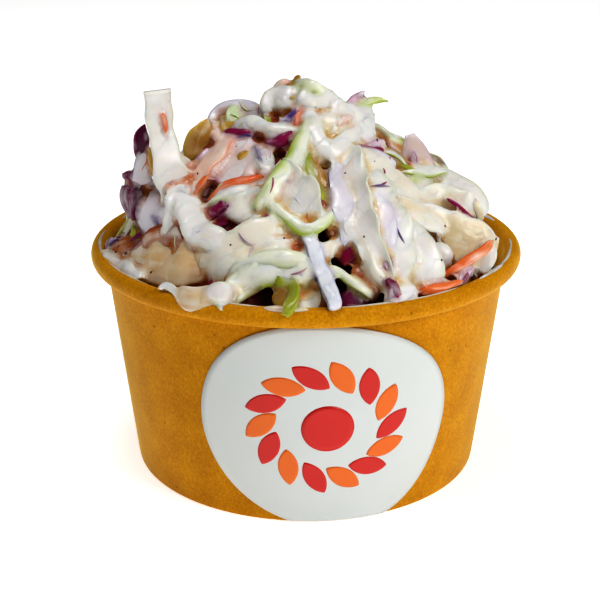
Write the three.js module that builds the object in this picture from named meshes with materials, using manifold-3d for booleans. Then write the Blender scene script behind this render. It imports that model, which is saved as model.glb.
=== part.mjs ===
// A paper salad cup heaped with creamy shredded slaw, in millimetres, +Z up.
// The origin is the centre of the foot, on the surface that the cup stands on, and -Y is the labelled front.
// Pieces: the kraft board wall with its rolled rim and turned-in foot, the board base, the round label,
// and the heap of slaw, which is one solid from the base to its uneven outline.
import * as THREE from "three";
import { mergeVertices } from "three/addons/utils/BufferGeometryUtils.js";
import Module from "manifold-3d";

// Driving dimensions of the cup: a common 350 ml board bowl, 115 mm across the rim.
const RIM_DIAMETER = 115;
const FOOT_DIAMETER = 94;
const CUP_HEIGHT = 61;
const BOARD = 0.6; // kraft board with its lining
const GAP = 0.3; // clearance that touching pieces keep
const CURL_WIDTH = 4.3; // rolled rim, across
const CURL_HEIGHT = 5; // rolled rim, top to bottom
const CURL_SWEEP = 0.9 * 2 * Math.PI; // the roll stops just short of the wall
const FOOT_FOLD = 6.5; // height of the wall's edge turned up inside the foot
const FOLD_GAP = BOARD + 2 * GAP; // room between wall and fold for the base's skirt
const FOOT_FLAT = 0.5; // radius of the fold where the foot stands
const SEAM_WIDTH = 8; // overlap of the wall's two ends, at the back
const SEAM_STEP = 0.35; // how far the overlap stands out
const SEAM_BITE = 0.15; // how far its strip reaches into the wall, so that the two join
const SEAM_END = 0.5; // how far it stops short of the foot's edge and of the roll

// Driving dimensions of the label, unrolled from the cone.
const LABEL_WIDTH = 65;
const LABEL_HEIGHT = 57;
const LABEL_CENTRE_Z = 27;
const LABEL_OFFSET = 5.5; // round the wall to the right of the front
const LABEL_TILT = -0.3; // radians, anticlockwise positive
const LABEL_THICKNESS = 0.3;
const LABEL_TOP = 55.4; // where it meets the underside of the roll
const LABEL_BOTTOM = 0.4;

// Driving dimensions of the heap.
const FILL_LEVEL = 57.5; // where the slaw meets the wall
const DOME_HEIGHT = 29; // the broad dome above that line
const DOME_RADIUS = 53.5;
const DOME_POWER = 2.7;
const PEAK = { x: 2, y: 1, height: 12, spread: 12 };
const LEFT_SHOULDER = { x: -25, y: 0, height: 5.5, spread: 9 };
const LUMPS = [PEAK, LEFT_SHOULDER];
const RIPPLE = { height: 1.6, acrossRate: 0.33, alongRate: 0.29, sway: 0.9, swayRate: 0.21, shift: 1.1 };
const CRUMPLE = { depth: 1.3, waves: 11, drift: 2, driftWaves: 3 }; // uneven edge along the wall
const CRUMPLE_BELT = [34, 48]; // radii over which the humps give way to the crumpled edge
const HOLLOWS = [
  { azimuth: 1.71, halfWidth: 0.3, reach: 43.3 }, // right, a little behind the middle
  { azimuth: -2.0, halfWidth: 0.3, reach: 41.3 }, // left, towards the back
]; // reach is the distance from the axis where a hollow begins
const HOLLOW_LEVEL = 51.5; // top of the slaw at the bottom of these hollows
const HOLLOW_BANK = 2.6; // how far inwards the heap takes to rise from a hollow
const HEAP_SIDE_TOP = 50; // the heap's straight side against the wall ends here
const HEAP_RING_SHARES = [1, 0.955, 0.915, 0.87, 0.825, 0.74, 0.6, 0.45, 0.3, 0.15];

// Driving dimensions of the shreds that stand out of the heap.
const LOOSE_SHREDS = 20;
const LOOSE_RADII = [9, 40]; // where their middles lie, from the axis
const LOOSE_REACH = 47; // how far from the axis their ends may lie
const LOOSE_TWIST = 1.2; // radians
const GOLDEN_SHARE = 0.381966; // of a turn, from one to the next
const SHRED_LENGTH = [20, 38];
const SHRED_WIDTH = [6, 10];
const SHRED_THICKNESS = [2, 3];
const SHRED_ARCH = [0.8, 4]; // height of a shred's middle above the heap
const SHRED_SINK = 0.8; // how deep its ends lie in the heap
const SHRED_STEPS = 5;
const HEAP_HEART = new THREE.Vector3(0, 0, 42.5); // shreds over the heap face away from here

// Facets of the round pieces.
const TURN_STEPS = 52;
const CURL_STEPS = 7;
const SEAM_STEPS = 4;
const LABEL_TURN_STEPS = 32;
const LABEL_RINGS = 4;
const HEAP_TURN_STEPS = 42;

const RIM_RADIUS = RIM_DIAMETER / 2;
const FOOT_RADIUS = FOOT_DIAMETER / 2;
const CURL_CENTRE_R = RIM_RADIUS - CURL_WIDTH / 2;
const CURL_CENTRE_Z = CUP_HEIGHT - CURL_HEIGHT / 2;
const WALL_TOP_RADIUS = RIM_RADIUS - CURL_WIDTH + BOARD; // outer face, level with the roll's middle
const WALL_SLOPE = (WALL_TOP_RADIUS - FOOT_RADIUS) / CURL_CENTRE_Z;
const BASE_TOP = FOOT_FOLD + GAP + BOARD;
const HEAP_FLOOR = BASE_TOP + GAP;
const SKY = CUP_HEIGHT * 2; // above everything

const wallOuter = (z) => FOOT_RADIUS + WALL_SLOPE * z;
const wallInner = (z) => wallOuter(z) - BOARD;
const clamp01 = (t) => Math.min(1, Math.max(0, t));
const smooth = (t) => clamp01(t) ** 2 * (3 - 2 * clamp01(t));

// A point at an azimuth measured from the front, positive to the right.
const onTurn = (azimuth, radius, z) =>
  new THREE.Vector3(radius * Math.sin(azimuth), -radius * Math.cos(azimuth), z);

// Repeatable random numbers from 0 to 1.
function randomSource(seed) {
  let state = seed;
  return () => {
    state = (state * 1664525 + 1013904223) % 4294967296;
    return state / 4294967296;
  };
}

// ---------- solids ----------

const wasm = await Module();
wasm.setup();

function toSolid(geometry) {
  const bare = geometry.index ? geometry.toNonIndexed() : geometry.clone();
  bare.deleteAttribute("normal");
  bare.deleteAttribute("uv");
  const merged = mergeVertices(bare, 1e-3);
  const made = new wasm.Mesh({
    numProp: 3,
    vertProperties: merged.attributes.position.array,
    triVerts: new Uint32Array(merged.index.array),
  });
  return new wasm.Manifold(made);
}

function toGeometry(solid) {
  const mesh = solid.getMesh();
  const stride = mesh.numProp;
  const positions = new Float32Array(mesh.numVert * 3);
  for (let i = 0; i < mesh.numVert; i++) {
    positions.set(mesh.vertProperties.subarray(i * stride, i * stride + 3), i * 3);
  }
  const geometry = new THREE.BufferGeometry();
  geometry.setAttribute("position", new THREE.BufferAttribute(positions, 3));
  geometry.setIndex(new THREE.BufferAttribute(mesh.triVerts, 1));
  return geometry;
}

// Booleans can leave crumbs: the piece is the largest body.
function largestBody(solid) {
  return solid.decompose().reduce((a, b) => (b.volume() > a.volume() ? b : a));
}

function indexedGeometry(points, triangles) {
  const geometry = new THREE.BufferGeometry();
  geometry.setFromPoints(points);
  geometry.setIndex(triangles);
  return geometry;
}

// A closed skin from rings of equal length, capped by a fan at each end.
function skinOfRings(rings, startPoint, endPoint) {
  const count = rings[0].length;
  const points = [...rings.flat(), startPoint, endPoint];
  const start = points.length - 2;
  const end = points.length - 1;
  const triangles = [];
  for (let j = 0; j < count; j++) {
    const next = (j + 1) % count;
    triangles.push(start, next, j);
    for (let i = 0; i + 1 < rings.length; i++) {
      const a = i * count + j;
      const b = i * count + next;
      triangles.push(a, b, b + count, a, b + count, a + count);
    }
    const last = (rings.length - 1) * count;
    triangles.push(end, last + j, last + next);
  }
  return indexedGeometry(points, triangles);
}

// A lathe turned about Z from a closed outline of [radius, z] pairs, anticlockwise.
function turned(outline) {
  const closed = [...outline, outline[0]].map(([r, z]) => new THREE.Vector2(r, z));
  const lathe = new THREE.LatheGeometry(closed, TURN_STEPS);
  lathe.rotateX(Math.PI / 2);
  return lathe;
}

// ---------- cup ----------

// The roll: the wall's top carried outwards and down round an ellipse, outer skin first, then back.
function curlPoints(offset) {
  const points = [];
  for (let i = 0; i <= CURL_STEPS; i++) {
    const angle = Math.PI - (CURL_SWEEP * i) / CURL_STEPS;
    const across = CURL_WIDTH / 2 - offset;
    const upright = CURL_HEIGHT / 2 - offset;
    points.push([
      CURL_CENTRE_R + across * Math.cos(angle),
      CURL_CENTRE_Z + upright * Math.sin(angle),
    ]);
  }
  return points;
}

// Wall, rolled rim and foot fold are one sheet of board.
function cupWall() {
  const foldOuter = FOOT_RADIUS - BOARD - FOLD_GAP;
  const foldInner = foldOuter - BOARD;
  const foot = [
    [wallOuter(FOOT_FLAT), FOOT_FLAT],
    [FOOT_RADIUS - FOOT_FLAT, 0],
    [foldInner + FOOT_FLAT, 0],
    [foldInner, FOOT_FLAT],
    [foldInner + WALL_SLOPE * FOOT_FOLD, FOOT_FOLD],
    [foldOuter + WALL_SLOPE * FOOT_FOLD, FOOT_FOLD],
    [foldOuter + WALL_SLOPE * BOARD, BOARD],
    [wallInner(BOARD), BOARD],
  ];
  const rollOutside = curlPoints(0);
  const rollInside = curlPoints(BOARD).reverse();
  const outline = [...foot, ...rollOutside, ...rollInside];
  const sheet = toSolid(turned(outline.reverse()));
  return toGeometry(largestBody(sheet.add(toSolid(sideSeam()))));
}

// The overlap of the wall's ends, a conical strip from foot to roll at the back.
function sideSeam() {
  const halfTurn = SEAM_WIDTH / 2 / wallOuter(CUP_HEIGHT / 2);
  const levels = [FOOT_FLAT + SEAM_END, CUP_HEIGHT - CURL_HEIGHT - SEAM_END];
  const rings = levels.map((z) => {
    const outer = [];
    const inner = [];
    for (let i = 0; i <= SEAM_STEPS; i++) {
      const azimuth = Math.PI + halfTurn * ((2 * i) / SEAM_STEPS - 1);
      outer.push(onTurn(azimuth, wallOuter(z) + SEAM_STEP, z));
      inner.unshift(onTurn(azimuth, wallOuter(z) - SEAM_BITE, z));
    }
    return [...outer, ...inner];
  });
  const middle = (z) => onTurn(Math.PI, wallOuter(z), z);
  return skinOfRings(rings, middle(levels[0]), middle(levels[1]));
}

// Base plate with its skirt turned down between wall and fold.
function cupBase() {
  const skirtOuter = (z) => wallInner(z) - GAP;
  const skirtInner = (z) => skirtOuter(z) - BOARD;
  const skirtFoot = BOARD + GAP;
  const underFold = FOOT_FOLD + GAP;
  return turned([
    [skirtInner(skirtFoot), skirtFoot],
    [skirtOuter(skirtFoot), skirtFoot],
    [skirtOuter(BASE_TOP), BASE_TOP],
    [0, BASE_TOP],
    [0, underFold],
    [skirtInner(underFold), underFold],
  ]);
}

// ---------- label ----------

// A rounded patch bent round the cone: rings from its middle out, for the outer and the inner face.
function label() {
  const wallAngle = Math.atan(WALL_SLOPE);
  const placed = (share, turn, lift) => {
    const c = Math.cos(turn);
    const s = Math.sin(turn);
    const u = (LABEL_WIDTH / 2) * share * c;
    const v = (LABEL_HEIGHT / 2) * share * s;
    const across = u * Math.cos(LABEL_TILT) - v * Math.sin(LABEL_TILT);
    const along = u * Math.sin(LABEL_TILT) + v * Math.cos(LABEL_TILT);
    const free = LABEL_CENTRE_Z + along * Math.cos(wallAngle);
    const z = Math.min(LABEL_TOP, Math.max(LABEL_BOTTOM, free));
    const radius = wallOuter(z) + GAP + lift;
    const azimuth = (LABEL_OFFSET + across) / wallOuter(LABEL_CENTRE_Z);
    return onTurn(azimuth, radius, z);
  };
  const face = (lift) => {
    const rings = [];
    for (let ring = 1; ring <= LABEL_RINGS; ring++) {
      const points = [];
      for (let i = 0; i < LABEL_TURN_STEPS; i++) {
        points.push(placed(ring / LABEL_RINGS, (2 * Math.PI * i) / LABEL_TURN_STEPS, lift));
      }
      rings.push(points);
    }
    return rings;
  };
  const inner = face(0);
  const outer = face(LABEL_THICKNESS).reverse();
  return skinOfRings([...inner, ...outer], placed(0, 0, 0), placed(0, 0, LABEL_THICKNESS));
}

// ---------- slaw ----------

const hump = (x, y, { x: cx, y: cy, height, spread }) =>
  height * Math.exp(-((x - cx) ** 2 + (y - cy) ** 2) / (2 * spread ** 2));

// Share of a hollow at a place: 1 in it, 0 outside.
function hollowShare(radius, azimuth) {
  return Math.max(
    ...HOLLOWS.map(({ azimuth: middle, halfWidth, reach }) => {
      const away = Math.abs(Math.atan2(Math.sin(azimuth - middle), Math.cos(azimuth - middle)));
      const along = 1 - smooth((away - halfWidth) / (0.6 * halfWidth));
      return along * smooth((radius - reach + HOLLOW_BANK) / HOLLOW_BANK);
    }),
  );
}

// Height of the heap's core: a dome, two broad lumps, small humps, and the hollows by the wall.
function heapHeight(x, y) {
  const r = Math.hypot(x, y);
  const azimuth = Math.atan2(x, -y);
  const dome = FILL_LEVEL + DOME_HEIGHT * (1 - Math.min(1, r / DOME_RADIUS) ** DOME_POWER);
  const lumps = LUMPS.reduce((sum, lump) => sum + hump(x, y, lump), 0);
  const outward = smooth((r - CRUMPLE_BELT[0]) / (CRUMPLE_BELT[1] - CRUMPLE_BELT[0]));
  const across = Math.sin(RIPPLE.acrossRate * x + RIPPLE.sway * Math.sin(RIPPLE.swayRate * y));
  const ripple = RIPPLE.height * across * Math.sin(RIPPLE.alongRate * y + RIPPLE.shift);
  const drift = CRUMPLE.drift * Math.sin(CRUMPLE.driftWaves * azimuth);
  const crumple = CRUMPLE.depth * Math.sin(CRUMPLE.waves * azimuth + drift);
  const uneven = ripple * (1 - outward) + crumple * outward;
  const sunk = hollowShare(r, azimuth);
  return (dome + lumps + uneven) * (1 - sunk) + HOLLOW_LEVEL * sunk;
}

// The core, from the base plate up the wall and over the dome.
function heapCore() {
  const rings = [];
  const turn = (radius, heightAt) => {
    const ring = [];
    for (let i = 0; i < HEAP_TURN_STEPS; i++) {
      const flat = onTurn((2 * Math.PI * i) / HEAP_TURN_STEPS, radius, 0);
      ring.push(flat.setZ(heightAt(flat.x, flat.y)));
    }
    rings.push(ring);
  };
  const edge = wallInner(HEAP_SIDE_TOP) - GAP;
  turn(wallInner(HEAP_FLOOR) - GAP, () => HEAP_FLOOR);
  turn(edge, () => HEAP_SIDE_TOP);
  HEAP_RING_SHARES.forEach((share) => turn(edge * share, heapHeight));
  const bottom = new THREE.Vector3(0, 0, HEAP_FLOOR);
  const top = new THREE.Vector3(0, 0, heapHeight(0, 0));
  return skinOfRings(rings, bottom, top);
}

// Section of a shred in shares of its width and thickness, anticlockwise.
const SHRED_SECTION = [
  [0.5, 0],
  [0.3, 0.5],
  [-0.3, 0.5],
  [-0.5, 0],
  [-0.3, -0.5],
  [0.3, -0.5],
];

// Width along a shred, in shares: narrow at both ends, but never less than its bluntness.
const shredTaper = (t, blunt) => blunt + (1 - blunt) * Math.sqrt(Math.sin(Math.PI * (0.06 + 0.88 * t)));

// A shred: a six-sided flat section carried along a bent path, its flat side facing out of the heap
// or the way that facing says.
function shred({ path, width, thickness, twist = 0, facing, blunt = 0.35 }) {
  const curve = new THREE.CatmullRomCurve3(path);
  const rings = [];
  for (let i = 0; i <= SHRED_STEPS; i++) {
    const t = i / SHRED_STEPS;
    const at = curve.getPoint(t);
    const along = curve.getTangent(t);
    const out = facing ? facing.clone() : at.clone().sub(HEAP_HEART);
    out.addScaledVector(along, -out.dot(along)).normalize();
    out.applyAxisAngle(along, twist * (t - 0.5));
    const side = new THREE.Vector3().crossVectors(out, along);
    const span = width * shredTaper(t, blunt);
    rings.push(
      SHRED_SECTION.map(([across, up]) =>
        at
          .clone()
          .addScaledVector(side, across * span)
          .addScaledVector(out, up * thickness),
      ),
    );
  }
  return skinOfRings(rings, curve.getPoint(0), curve.getPoint(1));
}

// A path from one place on the heap to another, arching over its surface.
function overHeap(from, to, arch) {
  return [0, 0.25, 0.5, 0.75, 1].map((t) => {
    const x = from[0] + (to[0] - from[0]) * t;
    const y = from[1] + (to[1] - from[1]) * t;
    return new THREE.Vector3(x, y, heapHeight(x, y) - SHRED_SINK + arch * Math.sin(Math.PI * t));
  });
}

// The shreds that stand out by themselves in the outline.
function namedShreds() {
  const front = new THREE.Vector3(0, -1, 0);
  const v = (x, y, z) => new THREE.Vector3(x, y, z);
  return [
    // upright cabbage strip at the left
    shred({
      path: [v(-36, -15, 72), v(-37, -15, 82), v(-39, -14.5, 92), v(-41, -14, 103)],
      width: 7.2,
      thickness: 2,
      facing: front,
      blunt: 0.85,
    }),
    // short leaf tip behind it
    shred({
      path: [v(-40, -8, 72), v(-43, -9, 81), v(-43.5, -9, 91)],
      width: 4,
      thickness: 1.8,
      facing: front,
    }),
    // leaf fin at the right
    shred({
      path: [v(32, -2, 76), v(33, -3, 83), v(32.5, -3, 90.5)],
      width: 8,
      thickness: 2,
      facing: front,
    }),
    // long flap over the right of the rim
    shred({
      path: [v(22, -14, 84), v(34, -18, 82.5), v(45, -19, 75), v(52, -17, 67)],
      width: 13,
      thickness: 2.4,
      twist: 0.3,
    }),
    // folded piece above it
    shred({
      path: [v(24, -4, 82.5), v(36, -6, 83), v(46, -7, 77.5), v(50, -8, 68)],
      width: 13,
      thickness: 2.4,
    }),
    // curled pieces of the peak
    shred({
      path: [v(-10, -4, 91), v(-8, -4, 99), v(0, -3, 102.5), v(6, -2, 98)],
      width: 7,
      thickness: 3,
    }),
    shred({
      path: [v(-4, 1, 97), v(0, 1, 103), v(6, 1, 102), v(12, 0, 100)],
      width: 5,
      thickness: 2.4,
    }),
    shred({
      path: [v(10, -4, 94), v(16, -3, 97.5), v(24, -3, 99.5)],
      width: 4,
      thickness: 1.8,
    }),
    // two that lie on the rim at the front
    shred({
      path: [v(-34, -33, 68), v(-26, -43, 65.5), v(-14, -50, 63.2), v(-2, -51, 62.9)],
      width: 8,
      thickness: 2.6,
    }),
    shred({
      path: [v(14, -38, 70), v(21, -43, 67), v(29, -44, 63.4), v(37, -38.5, 62.9)],
      width: 8,
      thickness: 2.6,
    }),
    // slab at the left front, above the rim
    shred({
      path: [v(-44, -8, 70), v(-42, -22, 74), v(-32, -34, 73), v(-22, -41, 68)],
      width: 12,
      thickness: 3,
    }),
  ];
}

// Shreds laid over the heap all round, each in its own direction.
function looseShreds() {
  const random = randomSource(11);
  const between = ([low, high]) => low + (high - low) * random();
  const made = [];
  for (let i = 0; i < LOOSE_SHREDS; i++) {
    const outward = Math.sqrt((i + 0.5) / LOOSE_SHREDS);
    const radius = LOOSE_RADII[0] + (LOOSE_RADII[1] - LOOSE_RADII[0]) * outward;
    const centre = onTurn(2 * Math.PI * i * GOLDEN_SHARE, radius, 0);
    const heading = 2 * Math.PI * random();
    const half = between(SHRED_LENGTH) / 2;
    const step = [half * Math.cos(heading), half * Math.sin(heading)];
    const ends = [-1, 1].map((sign) => {
      const end = new THREE.Vector2(centre.x + sign * step[0], centre.y + sign * step[1]);
      return end.clampLength(0, LOOSE_REACH).toArray();
    });
    made.push(
      shred({
        path: overHeap(ends[0], ends[1], between(SHRED_ARCH)),
        width: between(SHRED_WIDTH),
        thickness: between(SHRED_THICKNESS),
        twist: LOOSE_TWIST * (random() - 0.5),
      }),
    );
  }
  return made;
}

// The space that slaw may take: inside the cup, and above its rim.
function roomForSlaw() {
  const floor = BASE_TOP + GAP / 2;
  const rollTop = CUP_HEIGHT + GAP;
  return turned([
    [0, floor],
    [wallInner(floor) - GAP, floor],
    [wallInner(CURL_CENTRE_Z) - GAP, CURL_CENTRE_Z],
    [wallInner(CURL_CENTRE_Z) - GAP, rollTop],
    [RIM_RADIUS - GAP, rollTop],
    [RIM_RADIUS - GAP, SKY],
    [0, SKY],
  ]);
}

// Shreds keep out of the hollows by the wall, which stay open to above.
function hollowSpaces() {
  return HOLLOWS.map(({ azimuth, halfWidth, reach }) => {
    const outside = RIM_RADIUS + 2;
    const rings = [HOLLOW_LEVEL, SKY].map((z) =>
      [
        [azimuth - halfWidth, reach],
        [azimuth - halfWidth, outside],
        [azimuth + halfWidth, outside],
        [azimuth + halfWidth, reach],
      ].map(([turn, radius]) => onTurn(turn, radius, z)),
    );
    const middle = (z) => onTurn(azimuth, (reach + outside) / 2, z);
    return toSolid(skinOfRings(rings, middle(HOLLOW_LEVEL), middle(SKY)));
  });
}

function slaw() {
  const shreds = [...namedShreds(), ...looseShreds()].map(toSolid);
  const shaped = wasm.Manifold.union(shreds);
  const open = hollowSpaces().reduce((solid, space) => solid.subtract(space), shaped);
  const joined = open.add(toSolid(heapCore()));
  return toGeometry(largestBody(joined.intersect(toSolid(roomForSlaw()))));
}

// ---------- materials and assembly ----------

const kraft = new THREE.MeshStandardMaterial({ color: 0xc98a2e, roughness: 0.75, metalness: 0 });
const lining = new THREE.MeshStandardMaterial({ color: 0xb98545, roughness: 0.5, metalness: 0 });
const whitePaper = new THREE.MeshStandardMaterial({ color: 0xe9ecec, roughness: 0.4, metalness: 0 });
const creamySlaw = new THREE.MeshStandardMaterial({ color: 0xe8dfd2, roughness: 0.35, metalness: 0 });

const salad = new THREE.Group();
const add = (name, geometry, material) => {
  const mesh = new THREE.Mesh(geometry, material);
  mesh.name = name;
  salad.add(mesh);
};
add("cup_wall", cupWall(), kraft);
add("cup_base", cupBase(), lining);
add("label", label(), whitePaper);
add("slaw", slaw(), creamySlaw);

export default salad;
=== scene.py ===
"""A paper cup heaped with creamy slaw: its looks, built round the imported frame.

Lengths are in millimetres and turn into metres where a mesh is made. -Y is the labelled front.
The slaw is made of cut shreds, each a flat band carried along a path, over a core of dressing that is
drawn over all of them like a thick sauce: swollen, joined and shrunk again, so that it webs the gaps.
"""

import math

import bmesh
import bpy
import numpy as np
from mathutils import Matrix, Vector
from mathutils.bvhtree import BVHTree


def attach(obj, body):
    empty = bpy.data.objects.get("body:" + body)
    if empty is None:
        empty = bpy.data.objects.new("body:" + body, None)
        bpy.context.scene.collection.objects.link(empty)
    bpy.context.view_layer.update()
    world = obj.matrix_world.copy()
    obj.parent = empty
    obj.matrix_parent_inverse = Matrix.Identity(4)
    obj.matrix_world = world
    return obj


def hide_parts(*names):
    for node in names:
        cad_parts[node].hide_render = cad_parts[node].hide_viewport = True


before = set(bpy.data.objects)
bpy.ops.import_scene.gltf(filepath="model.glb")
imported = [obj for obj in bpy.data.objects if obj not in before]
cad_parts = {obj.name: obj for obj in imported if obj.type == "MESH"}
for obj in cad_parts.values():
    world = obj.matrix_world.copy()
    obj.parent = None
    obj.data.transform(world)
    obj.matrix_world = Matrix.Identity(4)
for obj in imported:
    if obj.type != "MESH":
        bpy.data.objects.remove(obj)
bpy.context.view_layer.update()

MM = 0.001
TAU = 2 * math.pi

# ---------- the cup's driving dimensions, as the frame has them ----------

RIM_RADIUS = 57.5
FOOT_RADIUS = 47
CUP_HEIGHT = 61
BOARD = 0.6
GAP = 0.3  # between one part of the cup and the next
CURL_WIDTH = 4.3
CURL_HEIGHT = 5
CURL_SWEEP = 0.9 * TAU
FOOT_FOLD = 6.5
FOOT_FLAT = 0.5
SEAM_WIDTH = 8  # the overlap of the wall's two ends, at the back
SEAM_STEP = 0.35  # how far it stands out from the wall
SEAM_BITE = 0.15  # and reaches into it
SEAM_END = 0.5
CURL_CENTRE_R = RIM_RADIUS - CURL_WIDTH / 2
CURL_CENTRE_Z = CUP_HEIGHT - CURL_HEIGHT / 2
WALL_SLOPE = (RIM_RADIUS - CURL_WIDTH + BOARD - FOOT_RADIUS) / CURL_CENTRE_Z

# ---------- the heap's outline, as the frame has it ----------

FILL_LEVEL = 57.5
DOME_HEIGHT = 29
DOME_RADIUS = 53.5
DOME_POWER = 2.7
PEAK = (2, 1, 12, 12)  # x, y, height, spread
LEFT_SHOULDER = (-25, 0, 5.5, 9)
WALL_HOLLOWS = [(1.71, 0.3, 43.3), (-2.0, 0.3, 41.3)]  # azimuth, half width, radius where it begins
WALL_HOLLOW_LEVEL = 51.5
WALL_HOLLOW_BANK = 2.6
SLOPE_STEP = 0.5
STEEPEST = 3

# ---------- the camera, which also places the shreds that the photograph shows ----------

PICTURE = 600  # pixels each way
CAMERA_PLACE = np.array((-1.567, -344.5, 171.1))
CAMERA_DIP = math.radians(20.5)
LENS = 80.26
SENSOR = 36
FOCAL_PIXELS = PICTURE * LENS / SENSOR
RAY_ENDS = (270, 400)  # the heap lies this far from the camera
RAY_STEPS = 1301


def linear(hex_colour):
    """The linear values of an sRGB colour such as "#C98A2E", with alpha 1."""
    values = np.array([int(hex_colour[i : i + 2], 16) for i in (1, 3, 5)]) / 255
    low = values / 12.92
    high = ((values + 0.055) / 1.055) ** 2.4
    return (*np.where(values < 0.04045, low, high), 1.0)


def smooth(t):
    """0 below 0, 1 above 1 and an S between them."""
    t = np.clip(t, 0, 1)
    return t * t * (3 - 2 * t)


def waves(points, size, seed, count=9):
    """Soft noise from -1 to 1: a sum of sine waves about size long, in seeded directions."""
    random = np.random.default_rng(seed)
    way = random.normal(size=(3, count))
    way *= TAU / size * random.uniform(0.6, 1.5, count) / np.linalg.norm(way, axis=0)
    return np.sin(points @ way + random.uniform(0, TAU, count)).mean(-1) * 1.6


def wall_outer(z):
    """Radius of the wall's outer face."""
    return FOOT_RADIUS + WALL_SLOPE * z


def on_turn(azimuth, radius, z):
    """Points at an azimuth measured from the front, positive to the right."""
    return np.stack(np.broadcast_arrays(radius * np.sin(azimuth), -radius * np.cos(azimuth), z), -1)


def hollow_share(radius, azimuth):
    """1 in the hollows that the heap has beside the wall and 0 outside them, smoothly between."""
    share = 0
    for middle, half_width, begins in WALL_HOLLOWS:
        away = np.abs(np.arctan2(np.sin(azimuth - middle), np.cos(azimuth - middle)))
        along = 1 - smooth((away - half_width) / (0.6 * half_width))
        share = np.maximum(share, along * smooth((radius - begins + WALL_HOLLOW_BANK) / WALL_HOLLOW_BANK))
    return share


def heap_height(x, y):
    """Height of the heap's outline over a place: a dome with two broad lumps, and hollows by the wall."""
    radius = np.hypot(x, y)
    dome = FILL_LEVEL + DOME_HEIGHT * (1 - np.minimum(1, radius / DOME_RADIUS) ** DOME_POWER)
    for cx, cy, height, spread in (PEAK, LEFT_SHOULDER):
        dome = dome + height * np.exp(-((x - cx) ** 2 + (y - cy) ** 2) / (2 * spread**2))
    sunk = hollow_share(radius, np.arctan2(x, -y))
    dome = dome * (1 - sunk) + WALL_HOLLOW_LEVEL * sunk
    return np.where(radius > DOME_RADIUS + 1, CUP_HEIGHT, dome)


def depth_under(points):
    """How far points lie under the heap's outline, measured square to it."""
    x, y, z = np.moveaxis(points, -1, 0)
    height = heap_height(x, y)
    rise = np.hypot(heap_height(x + SLOPE_STEP, y) - height, heap_height(x, y + SLOPE_STEP) - height)
    return (height - z) / np.hypot(1, np.minimum(rise / SLOPE_STEP, STEEPEST))


# ---------- meshes ----------


class Skins:
    """Collects grids of points into one mesh: each is closed round its second way, and capped at both
    ends. The points may carry the plant's colour, the film of dressing on it and its grain."""

    def __init__(self):
        self.points, self.quads, self.triangles = [], [], []
        self.painted = {"plant": [], "film": [], "grain": []}
        self.count = 0

    def add(self, rings, start, end, **painted):
        """rings is steps x round x 3. start and end are the points that close the two ends."""
        steps, turn = rings.shape[:2]
        at = self.count + np.arange(steps * turn).reshape(steps, turn)
        after = np.roll(at, -1, axis=1)
        self.quads.append(np.stack((at[:-1], after[:-1], after[1:], at[1:]), -1).reshape(-1, 4))
        first, last = self.count + steps * turn, self.count + steps * turn + 1
        self.triangles.append(np.stack((np.full(turn, first), after[0], at[0]), -1))
        self.triangles.append(np.stack((np.full(turn, last), at[-1], after[-1]), -1))
        self.points.append(np.concatenate((rings.reshape(-1, 3), [start, end])))
        for name, values in painted.items():
            flat = values.reshape(steps * turn, *values.shape[2:])
            self.painted[name].append(np.concatenate((flat, [values[0].mean(0), values[-1].mean(0)])))
        self.count += steps * turn + 2

    def mesh(self, name):
        """All the grids as one mesh; if coloured, also with its depth in the heap, for juice stain and
        painted shade.
        """
        points = np.concatenate(self.points)
        made = mesh_of(name, points, np.concatenate(self.quads), np.concatenate(self.triangles))
        if self.painted["plant"]:
            for layer, values in self.painted.items():
                paint(made, layer, np.concatenate(values))
            paint(made, "depth", stain_and_shade_depth(points))
        return made


def mesh_of(name, points, quads, triangles=np.zeros((0, 3), int)):
    """A smooth-shaded mesh in metres, from points in millimetres."""
    made = bpy.data.meshes.new(name)
    made.vertices.add(len(points))
    made.vertices.foreach_set("co", (points * MM).astype(np.float32).ravel())
    corners = np.concatenate((quads.ravel(), triangles.ravel()))
    made.loops.add(len(corners))
    made.loops.foreach_set("vertex_index", corners.astype(np.int32))
    starts = np.concatenate((4 * np.arange(len(quads)), quads.size + 3 * np.arange(len(triangles))))
    made.polygons.add(len(starts))
    made.polygons.foreach_set("loop_start", starts.astype(np.int32))
    made.polygons.foreach_set("use_smooth", np.ones(len(starts), bool))
    made.update(calc_edges=True)
    made.validate()
    return made


def paint(mesh, name, values):
    """Stores one number or one colour for each point."""
    kind, field = "FLOAT", "value"
    if values.ndim == 2:
        kind, field = "FLOAT_COLOR", "color"
        values = np.column_stack((values, np.ones(len(values))))
    layer = mesh.attributes.new(name, kind, "POINT")
    layer.data.foreach_set(field, values.astype(np.float32).ravel())


def points_of(mesh):
    """The mesh's points in millimetres."""
    flat = np.zeros(len(mesh.vertices) * 3, np.float32)
    mesh.vertices.foreach_get("co", flat)
    return flat.reshape(-1, 3).astype(float) / MM


def in_scene(name, data):
    """Puts a mesh, a light or a camera in the scene."""
    made = bpy.data.objects.new(name, data)
    bpy.context.scene.collection.objects.link(made)
    return made


def piece(mesh, material, replaces=None):
    """Puts a mesh in the scene as a piece of the object."""
    made = in_scene(mesh.name, mesh)
    made.data.materials.clear()
    made.data.materials.append(material)
    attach(made, "root")
    if replaces:
        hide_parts(replaces)


def modified(mesh, kind, **settings):
    """The mesh after one modifier."""
    carrier = in_scene("carrier", mesh)
    modifier = carrier.modifiers.new("step", kind)
    for name, value in settings.items():
        setattr(modifier, name, value)
    shaped = carrier.evaluated_get(bpy.context.evaluated_depsgraph_get())
    result = bpy.data.meshes.new_from_object(shaped)
    name = mesh.name
    bpy.data.objects.remove(carrier)
    bpy.data.meshes.remove(mesh)
    result.name = name
    return result


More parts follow.
